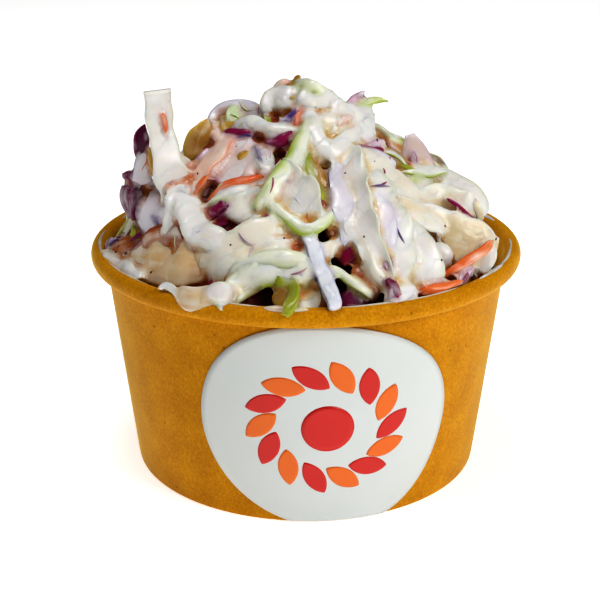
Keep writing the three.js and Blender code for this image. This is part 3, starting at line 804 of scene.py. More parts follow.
# The shreds that the photograph shows, from left to right and from the top down. Each has its sort and
# thickness, how it lies, then points as (pixel x, pixel y, lift above the heap, width), some with their
# depth y as well.
SHOWN = {
    # at the left: a strip of rib that stands up, and dark leaves behind it
    "standing rib": ("pale", 3.2, dict(facing=(0.4, -1, 0), blunt=0, cup=0.2, ruffle=0.1, tuck=0), [
        (157, 90.5, 0, 7.0, -15), (159, 112, 0, 6.7, -15), (163, 140, 0, 7.0, -16), (170, 170, 0, 8.4, -19),
        (177, 198, 0.5, 9),
    ]),
    "streak on the rib": ("carrot", 0.5, dict(facing=(0.1, -1, 0), blunt=4, cup=0, tuck=0), [
        (161, 112, 0, 1.0, -16.3), (163.5, 122, 0, 1.4, -16.4), (166, 133, 0, 1.0, -16.6),
    ]),
    "web at the rib's foot": ("pale", 2.4, LEANING, [
        (176, 158, 0, 4, -18), (190, 172, 2, 6), (210, 172, 2, 5), (228, 166, 1.5, 4),
    ]),
    "purple leaf behind the rib": ("plum", 1, dict(facing=FRONT, blunt=2.2, tuck=0), [
        (144.5, 124, 0, 1.6, -12), (141, 143, 0, 4.4, -12), (142, 166, 0, 3.6, -12),
    ]),
    "grey rib behind it": ("lavender", 1.6, UPRIGHT, [
        (147, 148, 0, 3, -12.5), (143, 165, 0, 4.6, -13), (141, 184, 0, 6, -15),
    ]),
    "amber edge of the rib": ("ochre", 1.2, UPRIGHT, [
        (151, 146, 0, 1.6, -14.5), (155, 165, 0, 2.2, -15.5), (163, 188, 0, 2.4, -17),
    ]),
    "plum hook": ("plum", 1.1, dict(facing=FRONT, blunt=0, tuck=0), [
        (121, 177, 0, 1.4, -12), (131, 177, 0, 3, -12), (140, 188, 0, 3, -13),
    ]),
    "plum fold outside": ("plum", 2, dict(facing=(-0.7, -1, 0.25), blunt=0, cup=0.2, tuck=0), [
        (128, 188, 0, 3, -12), (126, 203, 0, 4.4, -13), (132, 217, 0, 3.4, -14),
    ]),
    "plum fold inside": ("plum", 2, dict(facing=(0.3, -1, 0.3), blunt=0, cup=0.2, tuck=0), [
        (136, 188, 0, 2.6, -13.6), (137, 203, 0, 4, -14.5), (138, 220, 0, 3.4, -16),
    ]),
    "bluish slab": ("lavender", 2.4, dict(facing=(-0.5, -1, 0.35), cup=1), [
        (170, 176, 2, 10), (160, 192, 3, 14), (155, 212, 2.6, 13), (160, 232, 1.6, 7),
    ]),
    "white lobe beside it": ("pale", 2.6, dict(facing=LOW_FRONT), [
        (188, 176, 3, 8), (183, 198, 3.6, 9), (174, 222, 3, 6.4), (164, 242, 1.4, 3),
    ]),
    "violet nick": ("violet", 0.5, dict(facing=FRONT, blunt=2, cup=0, tuck=0), [
        (150, 214, 2.6, 0.5), (155, 219, 2.8, 0.9), (159, 226, 2.6, 0.5),
    ]),
    "cream lobe": ("pale", 3, dict(facing=(0.2, -1, 0.5), ruffle=0.1), [
        (189, 184, 2.8, 7), (188, 206, 3.6, 7.4), (198, 229, 3.8, 7.4), (219, 242, 3.4, 6.4),
        (242, 243, 2.8, 5),
    ]),
    # The amber and rust leaves here fill the left hollow and the wall's foot: their orange-brown is partly
    # painted shade.
    "amber leaf in the left hollow": ("rust", 1.4, UPRIGHT, [
        (186, 214, -0.8, 5), (181, 232, -0.6, 7), (192, 248, -0.4, 6),
    ]),
    "maroon leaf in the left hollow": ("magenta", 1.4, UPRIGHT, [
        (160, 250, -1.8, 5), (176, 250, -1.4, 6), (196, 256, -1.4, 4),
    ]),
    "plum cube at the wall": ("plum", 2.4, dict(blunt=0), [
        (104, 249, 0, 3, -8), (113, 243, 0, 4.6, -11), (124, 236, 0, 3, -11),
    ]),
    "violet glint on it": ("violet", 1.4, LYING, [
        (108, 243, 0, 2, -12.5), (114, 240, 0, 3, -13), (119, 237, 0, 2, -12.5),
    ]),
    "amber leaf at the wall": ("rust", 1.2, dict(blunt=3, cup=0.8), [
        (104, 254, 0, 3, -14), (126, 244, 0, 6, -18.5), (150, 236, 0, 6, -19),
    ]),
    "plum edge of it": ("plum", 0.6, LYING_THREAD, [
        (128, 240, 0, 0.6, -18.6), (141, 235, 0, 1.6, -19.6), (154, 232, 0, 0.8, -20),
    ]),
    "rusty leaf above the slab": ("rust", 1.2, dict(facing=(0, -1, 0.6), cup=0.8, blunt=3, tuck=2), [
        (142, 252, 1.2, 5), (156, 241, 2, 8), (174, 239, 2, 9), (192, 252, 1.2, 5),
    ]),
    "broad beige slab": ("beige", 1.8, dict(facing=(-0.5, -1, 0.8), cup=0.8, ruffle=0.15), [
        (98, 252, 0, 2, -15), (118, 256, 1, 7), (146, 259, 1, 11), (180, 263, 1, 12), (212, 262, 0.5, 9),
    ]),
    "its white lower edge": ("pale", 1.2, dict(facing=(-0.4, -0.6, 1), cup=0.2, tuck=0.4), [
        (101, 251, 0, 1.6, -14), (112, 260, 0, 3, -20), (126, 268, 0, 3.4, -27.5),
        (141, 276, 0, 2.6, -34.5),
    ]),
    "cream crumb at the rim": ("pale", 1, dict(cup=0.2, tuck=0), [
        (157, 289, 0, 1.2, -44), (163, 285.5, 0, 1.6, -44), (171, 288, 0, 2, -45), (178, 296, 0, 1.6, -48),
    ]),
    "maroon leaf at the rim": ("plum", 1.4, dict(blunt=0, cup=0.2), [
        (130, 276, -2.4, 4), (152, 281, -2.2, 6), (178, 286, -2.2, 5),
    ]),
    "lump over the rim": ("beige", 2.8, dict(cup=0.8, ruffle=0.1), [
        (174, 293, 0, 4, -46.5), (190, 299, 0, 6.4, -49.5), (212, 300, 0, 7, -51), (238, 294, 0, 6, -50.5),
    ]),
    "white end on it": ("pale", 1.2, dict(blunt=5, cup=0.4), [
        (205, 292, 0, 3, -51), (219, 290, 0, 5, -52.4), (234, 294, 0, 4, -52),
    ]),
    # upper left: a mustard leaf, a folded pale one and bands of carrot
    "mustard leaf": ("ochre", 1.0, dict(facing=FRONT, blunt=3, cup=0.3), [
        (208, 119, 0, 3.4, -5.6), (202, 134, 0, 6.4, -6.4), (196, 149, 0, 6.6, -7.4),
        (191, 166, 0, 4.6, -9),
    ]),
    "purple foot of it": ("mauve", 1.4, UPRIGHT, [(196, 166, 1, 4), (206, 158, 1.4, 4), (214, 150, 1, 3)]),
    "folded pale leaf": ("lavender", 2.4, LEANING, [
        (214, 138, 1.4, 3), (217, 119, 2, 5), (232, 109, 2.2, 6), (250, 110, 2.2, 6), (264, 117, 1.4, 4),
    ]),
    "green nib": ("mint", 1.2, dict(facing=UP_FRONT, blunt=2.5, cup=0.2), [
        (230, 120, 2.4, 3), (236, 112, 2.8, 4.6), (243, 104.5, 2.4, 3),
    ]),
    "pink edge": ("peach", 1.6, UPRIGHT, [(214, 118, 2.4, 2), (215, 131, 2.4, 3), (222, 144, 2, 2)]),
    "white shred across": ("pale", 2, dict(facing=UP_FRONT, roll=(0, 20)), [
        (230, 124, 3, 2.4), (251, 122, 3.8, 3.4), (275, 127, 3.8, 3.4), (303, 133, 3.2, 2),
    ]),
    "magenta line under it": ("magenta", 1.4, UPRIGHT, [
        (221, 131, 2.4, 1.6), (240, 133.5, 2.8, 2.6), (259, 131, 2.6, 1.4),
    ]),
    "maroon leaf under it": ("magenta", 1.6, UPRIGHT, [
        (262, 140, 2, 2), (281, 142, 2.4, 3.4), (301, 132, 2.4, 2),
    ]),
    "peach band": ("peach", 1.6, dict(cup=0.2), [
        (180, 204, 2.4, 3), (200, 178, 2.8, 5.4), (218, 152, 2.8, 5.4), (232, 130, 2, 3),
    ]),
    "carrot in the band": ("carrot", 0.8, LYING_THREAD, [
        (184, 204, 2.8, 1), (200, 183, 3.4, 2), (213, 166, 3.2, 1),
    ]),
    "carrot beside it": ("carrot", 1.1, dict(blunt=3, cup=0.2), [
        (206, 197, 2.2, 1.6), (226, 186, 2.6, 3), (246, 180, 2.6, 2.8), (268, 174, 2, 1.4),
    ]),
    "mottled face": ("blush", 1.4, dict(cup=0.2), [
        (222, 138, 1.2, 9), (236, 156, 1.6, 14), (254, 180, 1.4, 13),
    ]),
    "pale shred by the carrot": ("pale", 1.6, LYING, [
        (214, 196, 2.4, 2), (232, 190, 3, 3), (252, 186, 2.6, 3),
    ]),
    "lilac line": ("violet", 0.5, dict(facing=UP_FRONT, blunt=2, cup=0), [
        (234, 139, 2.4, 0.6), (244, 136, 2.6, 0.9), (252, 137, 2.4, 0.5),
    ]),
    "amber fleck": ("ochre", 0.6, LYING_THREAD, [
        (236, 160, 2, 1.4), (243, 155, 2.2, 2.4), (250, 148, 2, 1),
    ]),
    "purple rimmed white": ("pale", 0.8, dict(facing=(0.2, -1, 0.6), cup=0.2, blunt=3), [
        (256, 146, 2, 3), (264, 158, 2.4, 5), (270, 174, 2, 3),
    ]),
    "purple line by it": ("violet", 0.5, THREAD, [
        (254, 142, 2.4, 0.5), (259, 156, 3, 1), (261, 170, 2.6, 0.5),
    ]),
    # the peak: knobs, a curl with a green edge, and leaf tips to its right
    "left knob": ("pale", 4.2, dict(facing=HIGH_FRONT, blunt=3), [
        (265, 111, 3, 5), (274, 99, 3.4, 6.4), (289, 97, 3.4, 6.4), (304, 100, 2.4, 5),
    ]),
    "peach knob": ("peach", 3, dict(facing=HIGH_FRONT, blunt=3), [
        (274, 94, 3, 3), (281, 85, 3, 3.8), (291, 83, 2.6, 3),
    ]),
    "amber tip": ("ochre", 1.2, dict(facing=(-0.3, -1, 0.2), blunt=0, cup=0.3, tuck=0), [
        (289, 100, 3.6, 2.4), (293, 88, 4.2, 3.6), (297, 77, 4, 1.8),
    ]),
    "green edged curl": ("half lime", 1.6, dict(facing=(0, -0.6, 1), roll=(-20, -30), cup=0.2), [
        (294, 77, 4.4, 2.4), (305, 85, 5.2, 3.8), (319, 90, 4.8, 3.4), (338, 92.5, 3.6, 1.6),
    ]),
    "cream under the curl": ("ivory", 2.4, LEANING, [
        (292, 92, 3, 3), (304, 92, 3.4, 4.4), (318, 95, 3, 4),
    ]),
    "right knob": ("pale", 4.4, dict(facing=HIGH_FRONT, blunt=3), [
        (302, 108, 2.6, 6), (311, 99, 3, 7), (326, 100, 3, 7), (338, 111, 2, 6),
    ]),
    "violet in the cleft": ("violet", 0.9, dict(facing=FRONT, blunt=2.5, cup=0.2), [
        (279, 129, 2.6, 1.6), (287, 119, 2.8, 2.6), (297, 109, 2.6, 1.2),
    ]),
    "orange in the cleft": ("carrot", 1.1, dict(facing=FRONT, blunt=2.5, cup=0.2), [
        (302, 104, 1.6, 1.6), (300, 117, 1.6, 3), (298, 130, 1.6, 1.4),
    ]),
    "ridge to the right": ("pale", 3, dict(facing=HIGH_FRONT), [
        (326, 104, 2.4, 6), (340, 110, 2.8, 7), (355, 113, 2.6, 6), (373, 107, 2, 3),
    ]),
    "purple tip": ("mauve", 1.5, dict(facing=FRONT, blunt=2), [
        (349, 107, 2, 3), (356, 101, 2.6, 3.8), (363.5, 92.5, 2, 1.6),
    ]),
    "magenta on it": ("magenta", 0.9, dict(facing=FRONT, blunt=2), [
        (359, 102, 2.4, 1), (361, 97, 3, 1.8), (363, 93, 2.4, 1),
    ]),
    "lime tip": ("lime", 1.3, dict(facing=(0, -0.5, 1), blunt=2), [
        (351, 108, 2.6, 1.6), (370, 102, 3.2, 2.8), (388, 97.5, 2.6, 1),
    ]),
    "white lobe below it": ("pale", 2.6, dict(facing=(0.4, -1, 0.2)), [
        (370, 106, 2, 4), (369, 122, 2, 6), (366, 142, 1.6, 5),
    ]),
    "peach stroke": ("peach", 0.7, THREAD, [
        (336, 127, 3.2, 0.9), (344, 119, 3.6, 1.6), (356, 115, 3.2, 0.8),
    ]),
    "loop of rib": ("pale", 3, dict(facing=MID_FRONT), [
        (309, 108, 2.6, 4), (314, 132, 3, 4.6), (329, 152, 3, 5), (346, 142, 2.6, 5), (358, 122, 2, 4),
    ]),
    "cream in the loop": ("ivory", 2, LEANING, [(318, 112, 2, 6), (330, 128, 2.2, 8), (344, 130, 2.2, 7)]),
    # the middle: a long ribbon with a lime edge, and a see-through leaf held in a green loop
    "long lime ribbon": ("half lime", 2.0, dict(roll=(10, 25), cup=0.6), [
        (315, 112, 2.6, 3), (304, 136, 3.8, 4), (291, 160, 4.6, 4.6), (275, 184, 4.6, 4.4),
        (257, 209, 3.8, 3.2),
    ]),
    "white beside it": ("pale", 2, dict(roll=(-10, 0)), [
        (318, 120, 2, 3), (304, 150, 3, 4.4), (289, 180, 3, 4.4), (272, 208, 2.4, 3),
    ]),
    "olive edge": ("leaf", 1, dict(roll=(30, 30), blunt=2.5, cup=0.2), [
        (312, 124, 2.6, 1), (307, 148, 3, 2.2), (313, 176, 3, 2.4), (326, 206, 2.6, 1.2),
    ]),
    "amber leaf in the loop": ("ochre", 0.9, dict(roll=(-15, -25), cup=0.4, blunt=0), [
        (305, 140, 0.8, 3), (310, 162, 1.2, 5), (317, 186, 1.4, 6.4), (322, 212, 1.4, 5),
    ]),
    "rust foot of it": ("rust", 0.6, dict(roll=(-15, -25), cup=0.3, blunt=2), [
        (318, 196, 2, 1.6), (321, 208, 2.2, 3.4), (322, 222, 1.8, 1.8),
    ]),
    "see-through leaf": ("pale", 1.3, dict(facing=(-0.1, -1, 0.5), cup=-1.2, ruffle=0.3), [
        (268, 168, 2, 6), (280, 184, 2.6, 12), (296, 204, 3, 14), (314, 222, 2.4, 8),
    ]),
    "vein in it": ("lavender", 0.5, dict(facing=MID_FRONT, blunt=2, cup=0), [
        (282, 176, 3.4, 0.5), (294, 196, 3.8, 0.9), (308, 214, 3.4, 0.5),
    ]),
    "beige beside it": ("beige", 1.4, dict(facing=MID_FRONT), [
        (292, 158, 1.6, 5), (304, 178, 1.8, 7), (314, 200, 1.8, 6),
    ]),
    "green loop": ("half lime", 1.6, dict(facing=LOW_FRONT, cup=0.2), [
        (259, 198, 2.8, 1.8), (273, 209, 3.4, 2.6), (290, 221, 3.8, 3), (308, 229, 3.8, 3),
        (325, 222, 3.6, 2.6), (338, 205, 3, 2),
    ]),
    "violet mark": ("violet", 0.9, UPRIGHT, [
        (271, 176, 3.2, 0.9), (277, 185, 3.6, 1.3), (284, 189, 3.4, 0.8),
    ]),
    "violet mark above": ("violet", 0.9, UPRIGHT, [
        (278, 172, 3.6, 0.8), (284, 180, 3.8, 1.1), (293, 183, 3.6, 0.7),
    ]),
    "pink leaf in the hollow": ("magenta", 0.9, dict(facing=MID_FRONT, cup=0.3, blunt=2.5), [
        (202, 206, 0.8, 4), (217, 213, 1.2, 7), (236, 212, 0.8, 4),
    ]),
    "plum line on it": ("plum", 0.5, THREAD, [
        (210, 222, 1.8, 0.5), (221, 212, 2.2, 1), (231, 202, 1.8, 0.5),
    ]),
    "olive over the hollow": ("half lime", 1.1, dict(facing=UP_FRONT, blunt=3), [
        (203, 204, 1.8, 1), (220, 199, 2.4, 2), (244, 193, 2, 1.2),
    ]),
    "beige column": ("ivory", 2, LYING, [(248, 184, 1.4, 6), (246, 202, 1.8, 8), (240, 222, 1.6, 7)]),
    "cream column": ("ivory", 2.4, LYING, [(264, 206, 1, 5), (260, 222, 1.4, 8), (248, 240, 1.8, 8)]),
    "red glint": ("magenta", 0.9, UPRIGHT, [
        (262, 224, 2.6, 0.8), (266, 218, 2.8, 1.4), (268, 211, 2.4, 0.8),
    ]),
    # low at the front: broad slabs, then arcs of shredded rib, and a lime leaf over the rim
    "upper slab": ("ivory", 2.4, dict(facing=UP_FRONT, ruffle=0.2), [
        (196, 262, 1.4, 9), (226, 254, 2, 11), (262, 243, 2.2, 12), (300, 232, 1.6, 9),
    ]),
    "lower slab": ("ivory", 2.2, dict(facing=LOW_FRONT, ruffle=0.2), [
        (208, 280, 0.8, 7), (240, 268, 1, 8), (268, 256, 1.2, 8), (303, 250, 1, 7),
    ]),
    "upper arc": ("lime edge", 2.4, dict(facing=(0, -0.8, 1), roll=(0, -20)), [
        (226, 282, 1.4, 3), (246, 266, 2.2, 4.4), (284, 259, 2.6, 4.8), (323, 267, 2.2, 4),
    ]),
    "lower arc": ("lime edge", 2.8, dict(facing=UP_FRONT, roll=(0, -10)), [
        (222, 306, 0.8, 5, -54), (238, 288, 1.2, 7), (262, 274, 1.8, 7.4), (296, 273, 2, 6.6),
        (324, 281, 1.6, 5),
    ]),
    "lime leaf over the rim": ("leaf", 1, dict(facing=(-0.4, -1, 0.3), blunt=0, cup=0.3, tuck=0), [
        (275, 281, 1.2, 3), (289, 286, 1.4, 4.4), (292, 299, 0, 4, -55.6), (284, 314, 0, 1.8, -58.6),
    ]),
    "amber inside of it": ("ochre", 0.8, dict(facing=(-0.4, -1, 0.3), blunt=2.5, cup=0.1), [
        (277, 288, 0.6, 3), (282, 297, 0.4, 4.4), (283, 308, 0, 2, -54),
    ]),
    "cream drop over the rim": ("ivory", 2.2, UPRIGHT, [
        (302, 282, 0, 6), (303, 297, 0, 8), (302, 314, 0, 5, -56),
    ]),
    "purple edged strip": ("rimmed", 2, dict(facing=(0.2, -1, 0.4), cup=0.3), [
        (302, 227, 3, 2.4), (314, 250, 3.4, 4), (324, 276, 3.4, 4.4), (331, 298, 2.6, 4),
        (336, 313, 0, 3, -56),
    ]),
    # The rust leaves round this hollow: their orange-brown is partly painted shade.
    "amber behind it": ("rust", 1.4, dict(facing=FRONT, blunt=0), [
        (302, 238, 0.6, 3), (306, 252, 0.6, 4), (309, 266, 0.4, 3),
    ]),
    "small cream cube": ("ivory", 2.4, dict(facing=MID_FRONT, blunt=4), [
        (322, 256, 0.6, 4), (330, 249, 1, 5), (338, 251, 0.4, 4),
    ]),
    "amber roof of the hollow": ("rust", 1.4, dict(facing=MID_FRONT), [
        (326, 236, -0.2, 4), (336, 231, 0, 5), (346, 234, -0.2, 4),
    ]),
    "thin shred in the hollow": ("lime edge", 1.4, dict(facing=(0, -0.8, 0.8), cup=0.2), [
        (326, 266, 1.4, 2), (348, 280, 1.8, 2.6), (374, 298, 1, 1.6),
    ]),
    "brown leaf in the hollow": ("rust", 1.2, dict(facing=(0.2, -1, 0.5), blunt=3, cup=0.8), [
        (360, 258, -0.2, 4), (364, 272, 0.4, 7), (370, 286, 0.4, 8), (376, 300, -0.6, 5),
    ]),
    "maroon leaf behind": ("magenta", 1.2, dict(facing=MID_FRONT, blunt=3), [
        (334, 248, -0.8, 5), (349, 251, -0.4, 8), (362, 260, -0.8, 5),
    ]),
    "maroon leaf at the hollow's foot": ("plum", 1.2, dict(facing=UP_FRONT, blunt=3), [
        (338, 296, -1, 4), (352, 300, -0.6, 6), (370, 300, -1, 4),
    ]),
    # right of the middle: curtains of leaf, hanging from under the peak to the rim
    "pink edged fold": ("lavender", 1.2, dict(facing=(0.1, -1, 0.4), cup=0.4, ruffle=0.6), [
        (341, 150, 2, 4), (340, 180, 2.8, 6), (343, 212, 3.2, 5), (347, 244, 2.6, 2),
    ]),
    "front curtain": ("pale", 2.4, dict(facing=(-0.2, -1, 0.35), cup=-1, ruffle=0.7), [
        (348, 144, 2.4, 6), (349, 172, 3, 9), (356, 208, 3.6, 9), (370, 244, 4, 7), (388, 284, 3, 5),
    ]),
    "amber edge of the curtain": ("ivory", 1.8, dict(facing=(-0.6, -1, 0.2)), [
        (350, 214, 2.6, 3), (358, 236, 3, 3.4), (370, 264, 3, 3.4), (384, 292, 2.4, 3),
    ]),
    "second curtain": ("pale", 2.2, dict(facing=(0.1, -1, 0.35), cup=0.8, ruffle=1), [
        (364, 166, 3.2, 7), (377, 198, 3.8, 11), (388, 236, 4.2, 13), (396, 268, 3.6, 10),
        (396, 288, 1.4, 6),
    ]),
    "shade on the curtain": ("lavender", 1.2, dict(facing=(0.1, -1, 0.35), cup=0.4, ruffle=0.6), [
        (372, 186, 4.6, 3), (382, 210, 5.2, 6), (388, 234, 5.4, 5), (390, 254, 5, 2),
    ]),
    "magenta fleck": ("magenta", 0.4, THREAD, [
        (387, 252, 5.4, 0.4), (390, 262, 5.8, 1.1), (391, 274, 5.2, 0.4),
    ]),
    "magenta fleck beside it": ("magenta", 0.4, THREAD, [
        (383, 258, 5, 0.4), (386, 265, 5.2, 0.9), (390, 272, 5, 0.4),
    ]),
    "lines by the peak": ("violet", 0.5, THREAD, [
        (351, 152, 2.6, 0.6), (360, 158, 3, 1), (372, 164, 2.6, 0.5),
    ]),
    "magenta under the ridge": ("magenta", 0.8, dict(facing=FRONT, blunt=2.5, cup=0), [
        (356, 146, 2, 1.4), (368, 151, 2.4, 2.4), (380, 153, 2, 1.4),
    ]),
    "magenta lump": ("magenta", 0.7, dict(facing=(-0.3, -1, 0.1), blunt=0, cup=0.4, tuck=0), [
        (386, 280, 0, 1.6, -48), (392, 288, 0, 3.4, -50.4), (399, 296, 0, 1.4, -51.6),
    ]),
    "dark fold of it": ("plum", 0.6, dict(facing=(0.4, -1, 0.1), blunt=2, cup=0, tuck=0), [
        (396, 280, 0, 0.6, -48.4), (393, 290, 0, 1.6, -51), (388, 300, 0, 0.6, -52),
    ]),
    "long ivory fold": ("ivory", 2.4, dict(roll=(-10, 15), cup=0.8), [
        (354, 142, 2.6, 6), (374, 162, 3.6, 9), (398, 186, 4, 11), (422, 208, 4, 11), (448, 224, 3.4, 9),
    ]),
    "white fold under it": ("pale", 2.6, dict(facing=(0.1, -1, 0.5), cup=0.8), [
        (394, 228, 3.2, 9), (412, 252, 3.6, 13), (424, 284, 2.4, 12),
    ]),
    # at the right: a fin, a roll of green leaf, and two broad flaps over the rim
    "fin": ("blush", 1.4, dict(facing=(0.3, -1, 0.2), blunt=0, cup=0.1, ruffle=0.1, tuck=0), [
        (420, 176, 0, 11, -7), (414, 154, 0, 7.6, -6.5), (410, 134, 0, 2.4, -6),
    ]),
    "pale shred behind the fin": ("pale", 1.6, LEANING, [
        (422, 158, 0.2, 3), (436, 168, 0.4, 5), (452, 178, 0, 4),
    ]),
    "pink patch on the fin": ("mauve", 0.5, dict(facing=(-0.3, -1, 0.15), blunt=2, cup=0, tuck=0), [
        (412, 165, 0, 1.2, -8.2), (413, 158, 0, 1.8, -8), (413, 150, 0, 0.7, -7.6),
    ]),
    "mauve flag": ("mauve", 1.4, dict(facing=FRONT, blunt=3), [
        (366, 149, 1.6, 2), (377, 146, 2.2, 2.8), (389, 141, 2, 1.8),
    ]),
    "magenta edge of it": ("magenta", 0.9, UPRIGHT, [
        (368, 152, 2.6, 1.2), (377, 151, 3, 1.8), (386, 152, 2.6, 1),
    ]),
    "ribs behind it": ("lavender", 1.6, LEANING, [
        (356, 150, 1.6, 4), (374, 160, 2, 6), (396, 172, 1.6, 5),
    ]),
    "amber roll": ("ochre", 0.8, dict(facing=MID_FRONT, blunt=0, cup=1.2), [
        (381, 154, 0.4, 4), (393, 159, 0.6, 5), (405, 172, 0.4, 4),
    ]),
    "green lip of it": ("half lime", 0.6, dict(facing=(0, -0.8, 0.8), blunt=2, cup=0), [
        (384, 151, 1.6, 1), (396, 155, 1.8, 1.6), (408, 167, 1.6, 0.9),
    ]),
    "lime line": ("half lime", 0.8, dict(facing=UP_FRONT, blunt=2, cup=0), [
        (404, 171, 2.4, 1.4), (424, 174.5, 2.6, 2), (450, 171, 0, 0.8, -11),
    ]),
    "upper flap": ("pale", 2.2, dict(facing=(0.35, -1, 0.9), cup=1.2), [
        (392, 188, 1.6, 9), (425, 183, 0, 12, -12), (453, 189, 0, 13, -14), (471, 203, 0, 12, -16),
        (478, 220, 0, 7, -18),
    ]),
    "tan edge of its fold": ("sheet", 0.7, dict(facing=(0.5, -1, 0.3), blunt=2.5, cup=0.1), [
        (464, 195, 0, 1, -18), (475, 203, 0, 2, -20.5), (481, 216, 0, 2.2, -21.5), (477, 230, 0, 1, -22),
    ]),
    "inside of its fold": ("ivory", 2, dict(facing=(0.1, -1, 0.3), cup=0.6), [
        (414, 208, 2.6, 9), (440, 204, 0, 10, -21), (463, 209, 0, 10, -22), (481, 221, 0, 5, -20),
    ]),
    "magenta line in it": ("magenta", 0.7, dict(facing=FRONT, cup=0), [
        (447, 199, 0, 0.8, -23.5), (460, 208, 0, 1.2, -24), (474, 218, 0, 0.7, -23.8),
    ]),
    "lower flap": ("sheet", 1.8, dict(facing=(0.15, -1, 0.35), cup=0.5, blunt=0, ruffle=0.2, tuck=0.4), [
        (396, 214, 4, 8), (430, 231, 0, 13, -29), (464, 244, 0, 14, -28.5), (496, 256, 0, 10, -26),
    ]),
    "white end under it": ("pale", 1.6, dict(facing=(0.2, -1, 0.2), blunt=0, tuck=0), [
        (486, 242, 0, 3, -27.6), (489, 256, 0, 4, -28.4), (484, 274, 0, 2.4, -29.6),
    ]),
    "white wedge": ("pale", 1.6, dict(facing=(0.2, -1, 0.3), blunt=0, cup=0.8), [
        (428, 268, 0, 6, -34), (441, 256, 0, 7, -34), (453, 262, 0, 3, -34),
    ]),
    "long carrot": ("carrot", 0.6, dict(facing=UP_FRONT, blunt=3, cup=0.2, tuck=0.2), [
        (427, 283, 0, 0.7, -38.5), (450, 271, 0, 1.8, -37.5), (474, 256, 0, 2.6, -34),
        (495, 240, 0, 2.8, -28.6),
    ]),
    "carrot at the rim": ("carrot", 0.7, dict(facing=UP_FRONT, blunt=5, cup=0.3), [
        (420, 294, 0, 1.8, -45), (440, 288, 0, 2.6, -43.4), (465, 280, 0, 1.2, -40),
    ]),
    "lilac strip above it": ("lavender", 1.8, LEANING, [
        (420, 292, 0, 3, -39), (446, 280, 0, 3.6, -36), (474, 268, 0, 3, -32),
    ]),
    "magenta at the rim": ("mauve", 0.5, dict(facing=UP_FRONT, blunt=2.5, cup=0.4), [
        (456, 284, 0, 1.4, -40), (466, 274, 0, 2.6, -37), (478, 266, 0, 1.4, -33),
    ]),
    "dark line by it": ("magenta", 0.4, THREAD, [
        (459, 287, 0, 0.5, -40), (465, 280, 0, 1.2, -38.6), (468, 271, 0, 0.5, -37.4),
    ]),
    "cream at the rim": ("pale", 2, LEANING, [
        (386, 302, 0, 4, -51.6), (402, 296, 0, 5, -49.4), (420, 292, 0, 4, -45.6),
    ]),
}

# Hollows between the shreds: pixel x, pixel y, and their reach and depth in mm. The stain and its painted
# shade are darkest in them.
HOLLOWS = [
    (180, 232, 6, 3),
    (352, 246, 7, 4),
    (366, 270, 9, 4),
    (350, 292, 7, 3),
    (266, 298, 7, 4),
    (146, 280, 5, 3),
    (164, 284, 5, 3),
    (218, 214, 5, 4),
    (488, 262, 6, 5),
    (302, 252, 3, 2),
    (386, 140, 7, 0.6),
]
HOLLOW_PLACES = [(placed(px, py, 0)[:2], reach, depth) for px, py, reach, depth in HOLLOWS]

FILL_COUNT = 320
# For each sort: how often it comes, and its least and greatest width.
FILL_MIX = {
    "pale": (0.24, 1.5, 5),
    "lime edge": (0.12, 2.5, 5.5),
    "lime": (0.05, 1.5, 2.5),
    "leaf": (0.03, 1.5, 3),
    "ivory": (0.15, 5, 12),
    "beige": (0.07, 5, 10),
    "ochre": (0.04, 3, 5),
    "lavender": (0.12, 2.5, 9),
    "mauve": (0.06, 2, 6),
    "plum": (0.03, 2, 4),
    "magenta": (0.03, 1.5, 3),
    "carrot": (0.04, 1.5, 3),
    "peach": (0.02, 1.5, 3),
}
FILL_LENGTHS = (16, 42)
FILL_RADIUS = 49  # where the middle of a shred may lie
FILL_REACH = 50.5  # and any point of its path
FILL_DIP = 9
FRONT_SHARE = 0.1  # of the cosine of the azimuth: beyond it the photograph shows the heap
TOP_RADIUS = 12  # as it does within this radius
NARROW = 4
CLEAR_OF_HOLLOW = 0.9


def lay_filling(skins):
    """Lays the shreds that the photograph doesn't show one by one: each walks over the heap from a seeded
    place, turning steadily, and dips under its neighbours at both ends."""
    random = np.random.default_rng(11)
    names = list(FILL_MIX)
    chances = np.array([FILL_MIX[name][0] for name in names])
    share = np.linspace(-0.5, 0.5, 5)
    for i in range(FILL_COUNT):
        sort = names[random.choice(len(names), p=chances / chances.sum())]
        width = random.uniform(*FILL_MIX[sort][1:])
        length = random.uniform(*FILL_LENGTHS)
        radius = FILL_RADIUS * math.sqrt(random.uniform(0, 1))
        azimuth = random.uniform(-math.pi, math.pi)
        heading = random.uniform(0, TAU)
        bend = random.uniform(-0.05, 0.05)
        shown = math.cos(azimuth) > FRONT_SHARE or radius < TOP_RADIUS
        lift = random.uniform(-1.5, 2)
        if shown:
            lift = random.uniform(-2.2, 0.8) if width < NARROW else random.uniform(-4, -2)
        place = np.array((radius * math.sin(azimuth), -radius * math.cos(azimuth)))
        turned = heading + bend * length * share
        walk = np.stack((np.cos(turned), np.sin(turned)), -1) * (length / 4)
        path = place + np.cumsum(walk, 0) - walk.sum(0) / 2
        path = path * np.minimum(1, FILL_REACH / np.linalg.norm(path, axis=1, keepdims=True))
        gaps = [np.hypot(*(path - middle).T).min() / reach for middle, reach, _ in HOLLOW_PLACES]
        if min(gaps) < CLEAR_OF_HOLLOW or (shown and sort == "carrot"):
            continue
        z = heap_height(path[:, 0], path[:, 1]) + lift - FILL_DIP * np.abs(share) ** 2.5
        lay_shred(
            skins,
            sort,
            np.column_stack((path, z, np.full(5, width))),
            thickness=random.uniform(1.3, 2.4),
            roll=random.uniform(-25, 25, 2),
            cup=random.uniform(-0.4, 0.9),
            ruffle=random.uniform(0.2, 0.7),
            seed=1000 + i,
        )


# ---------- what lies under the shreds, and the dressing over them ----------

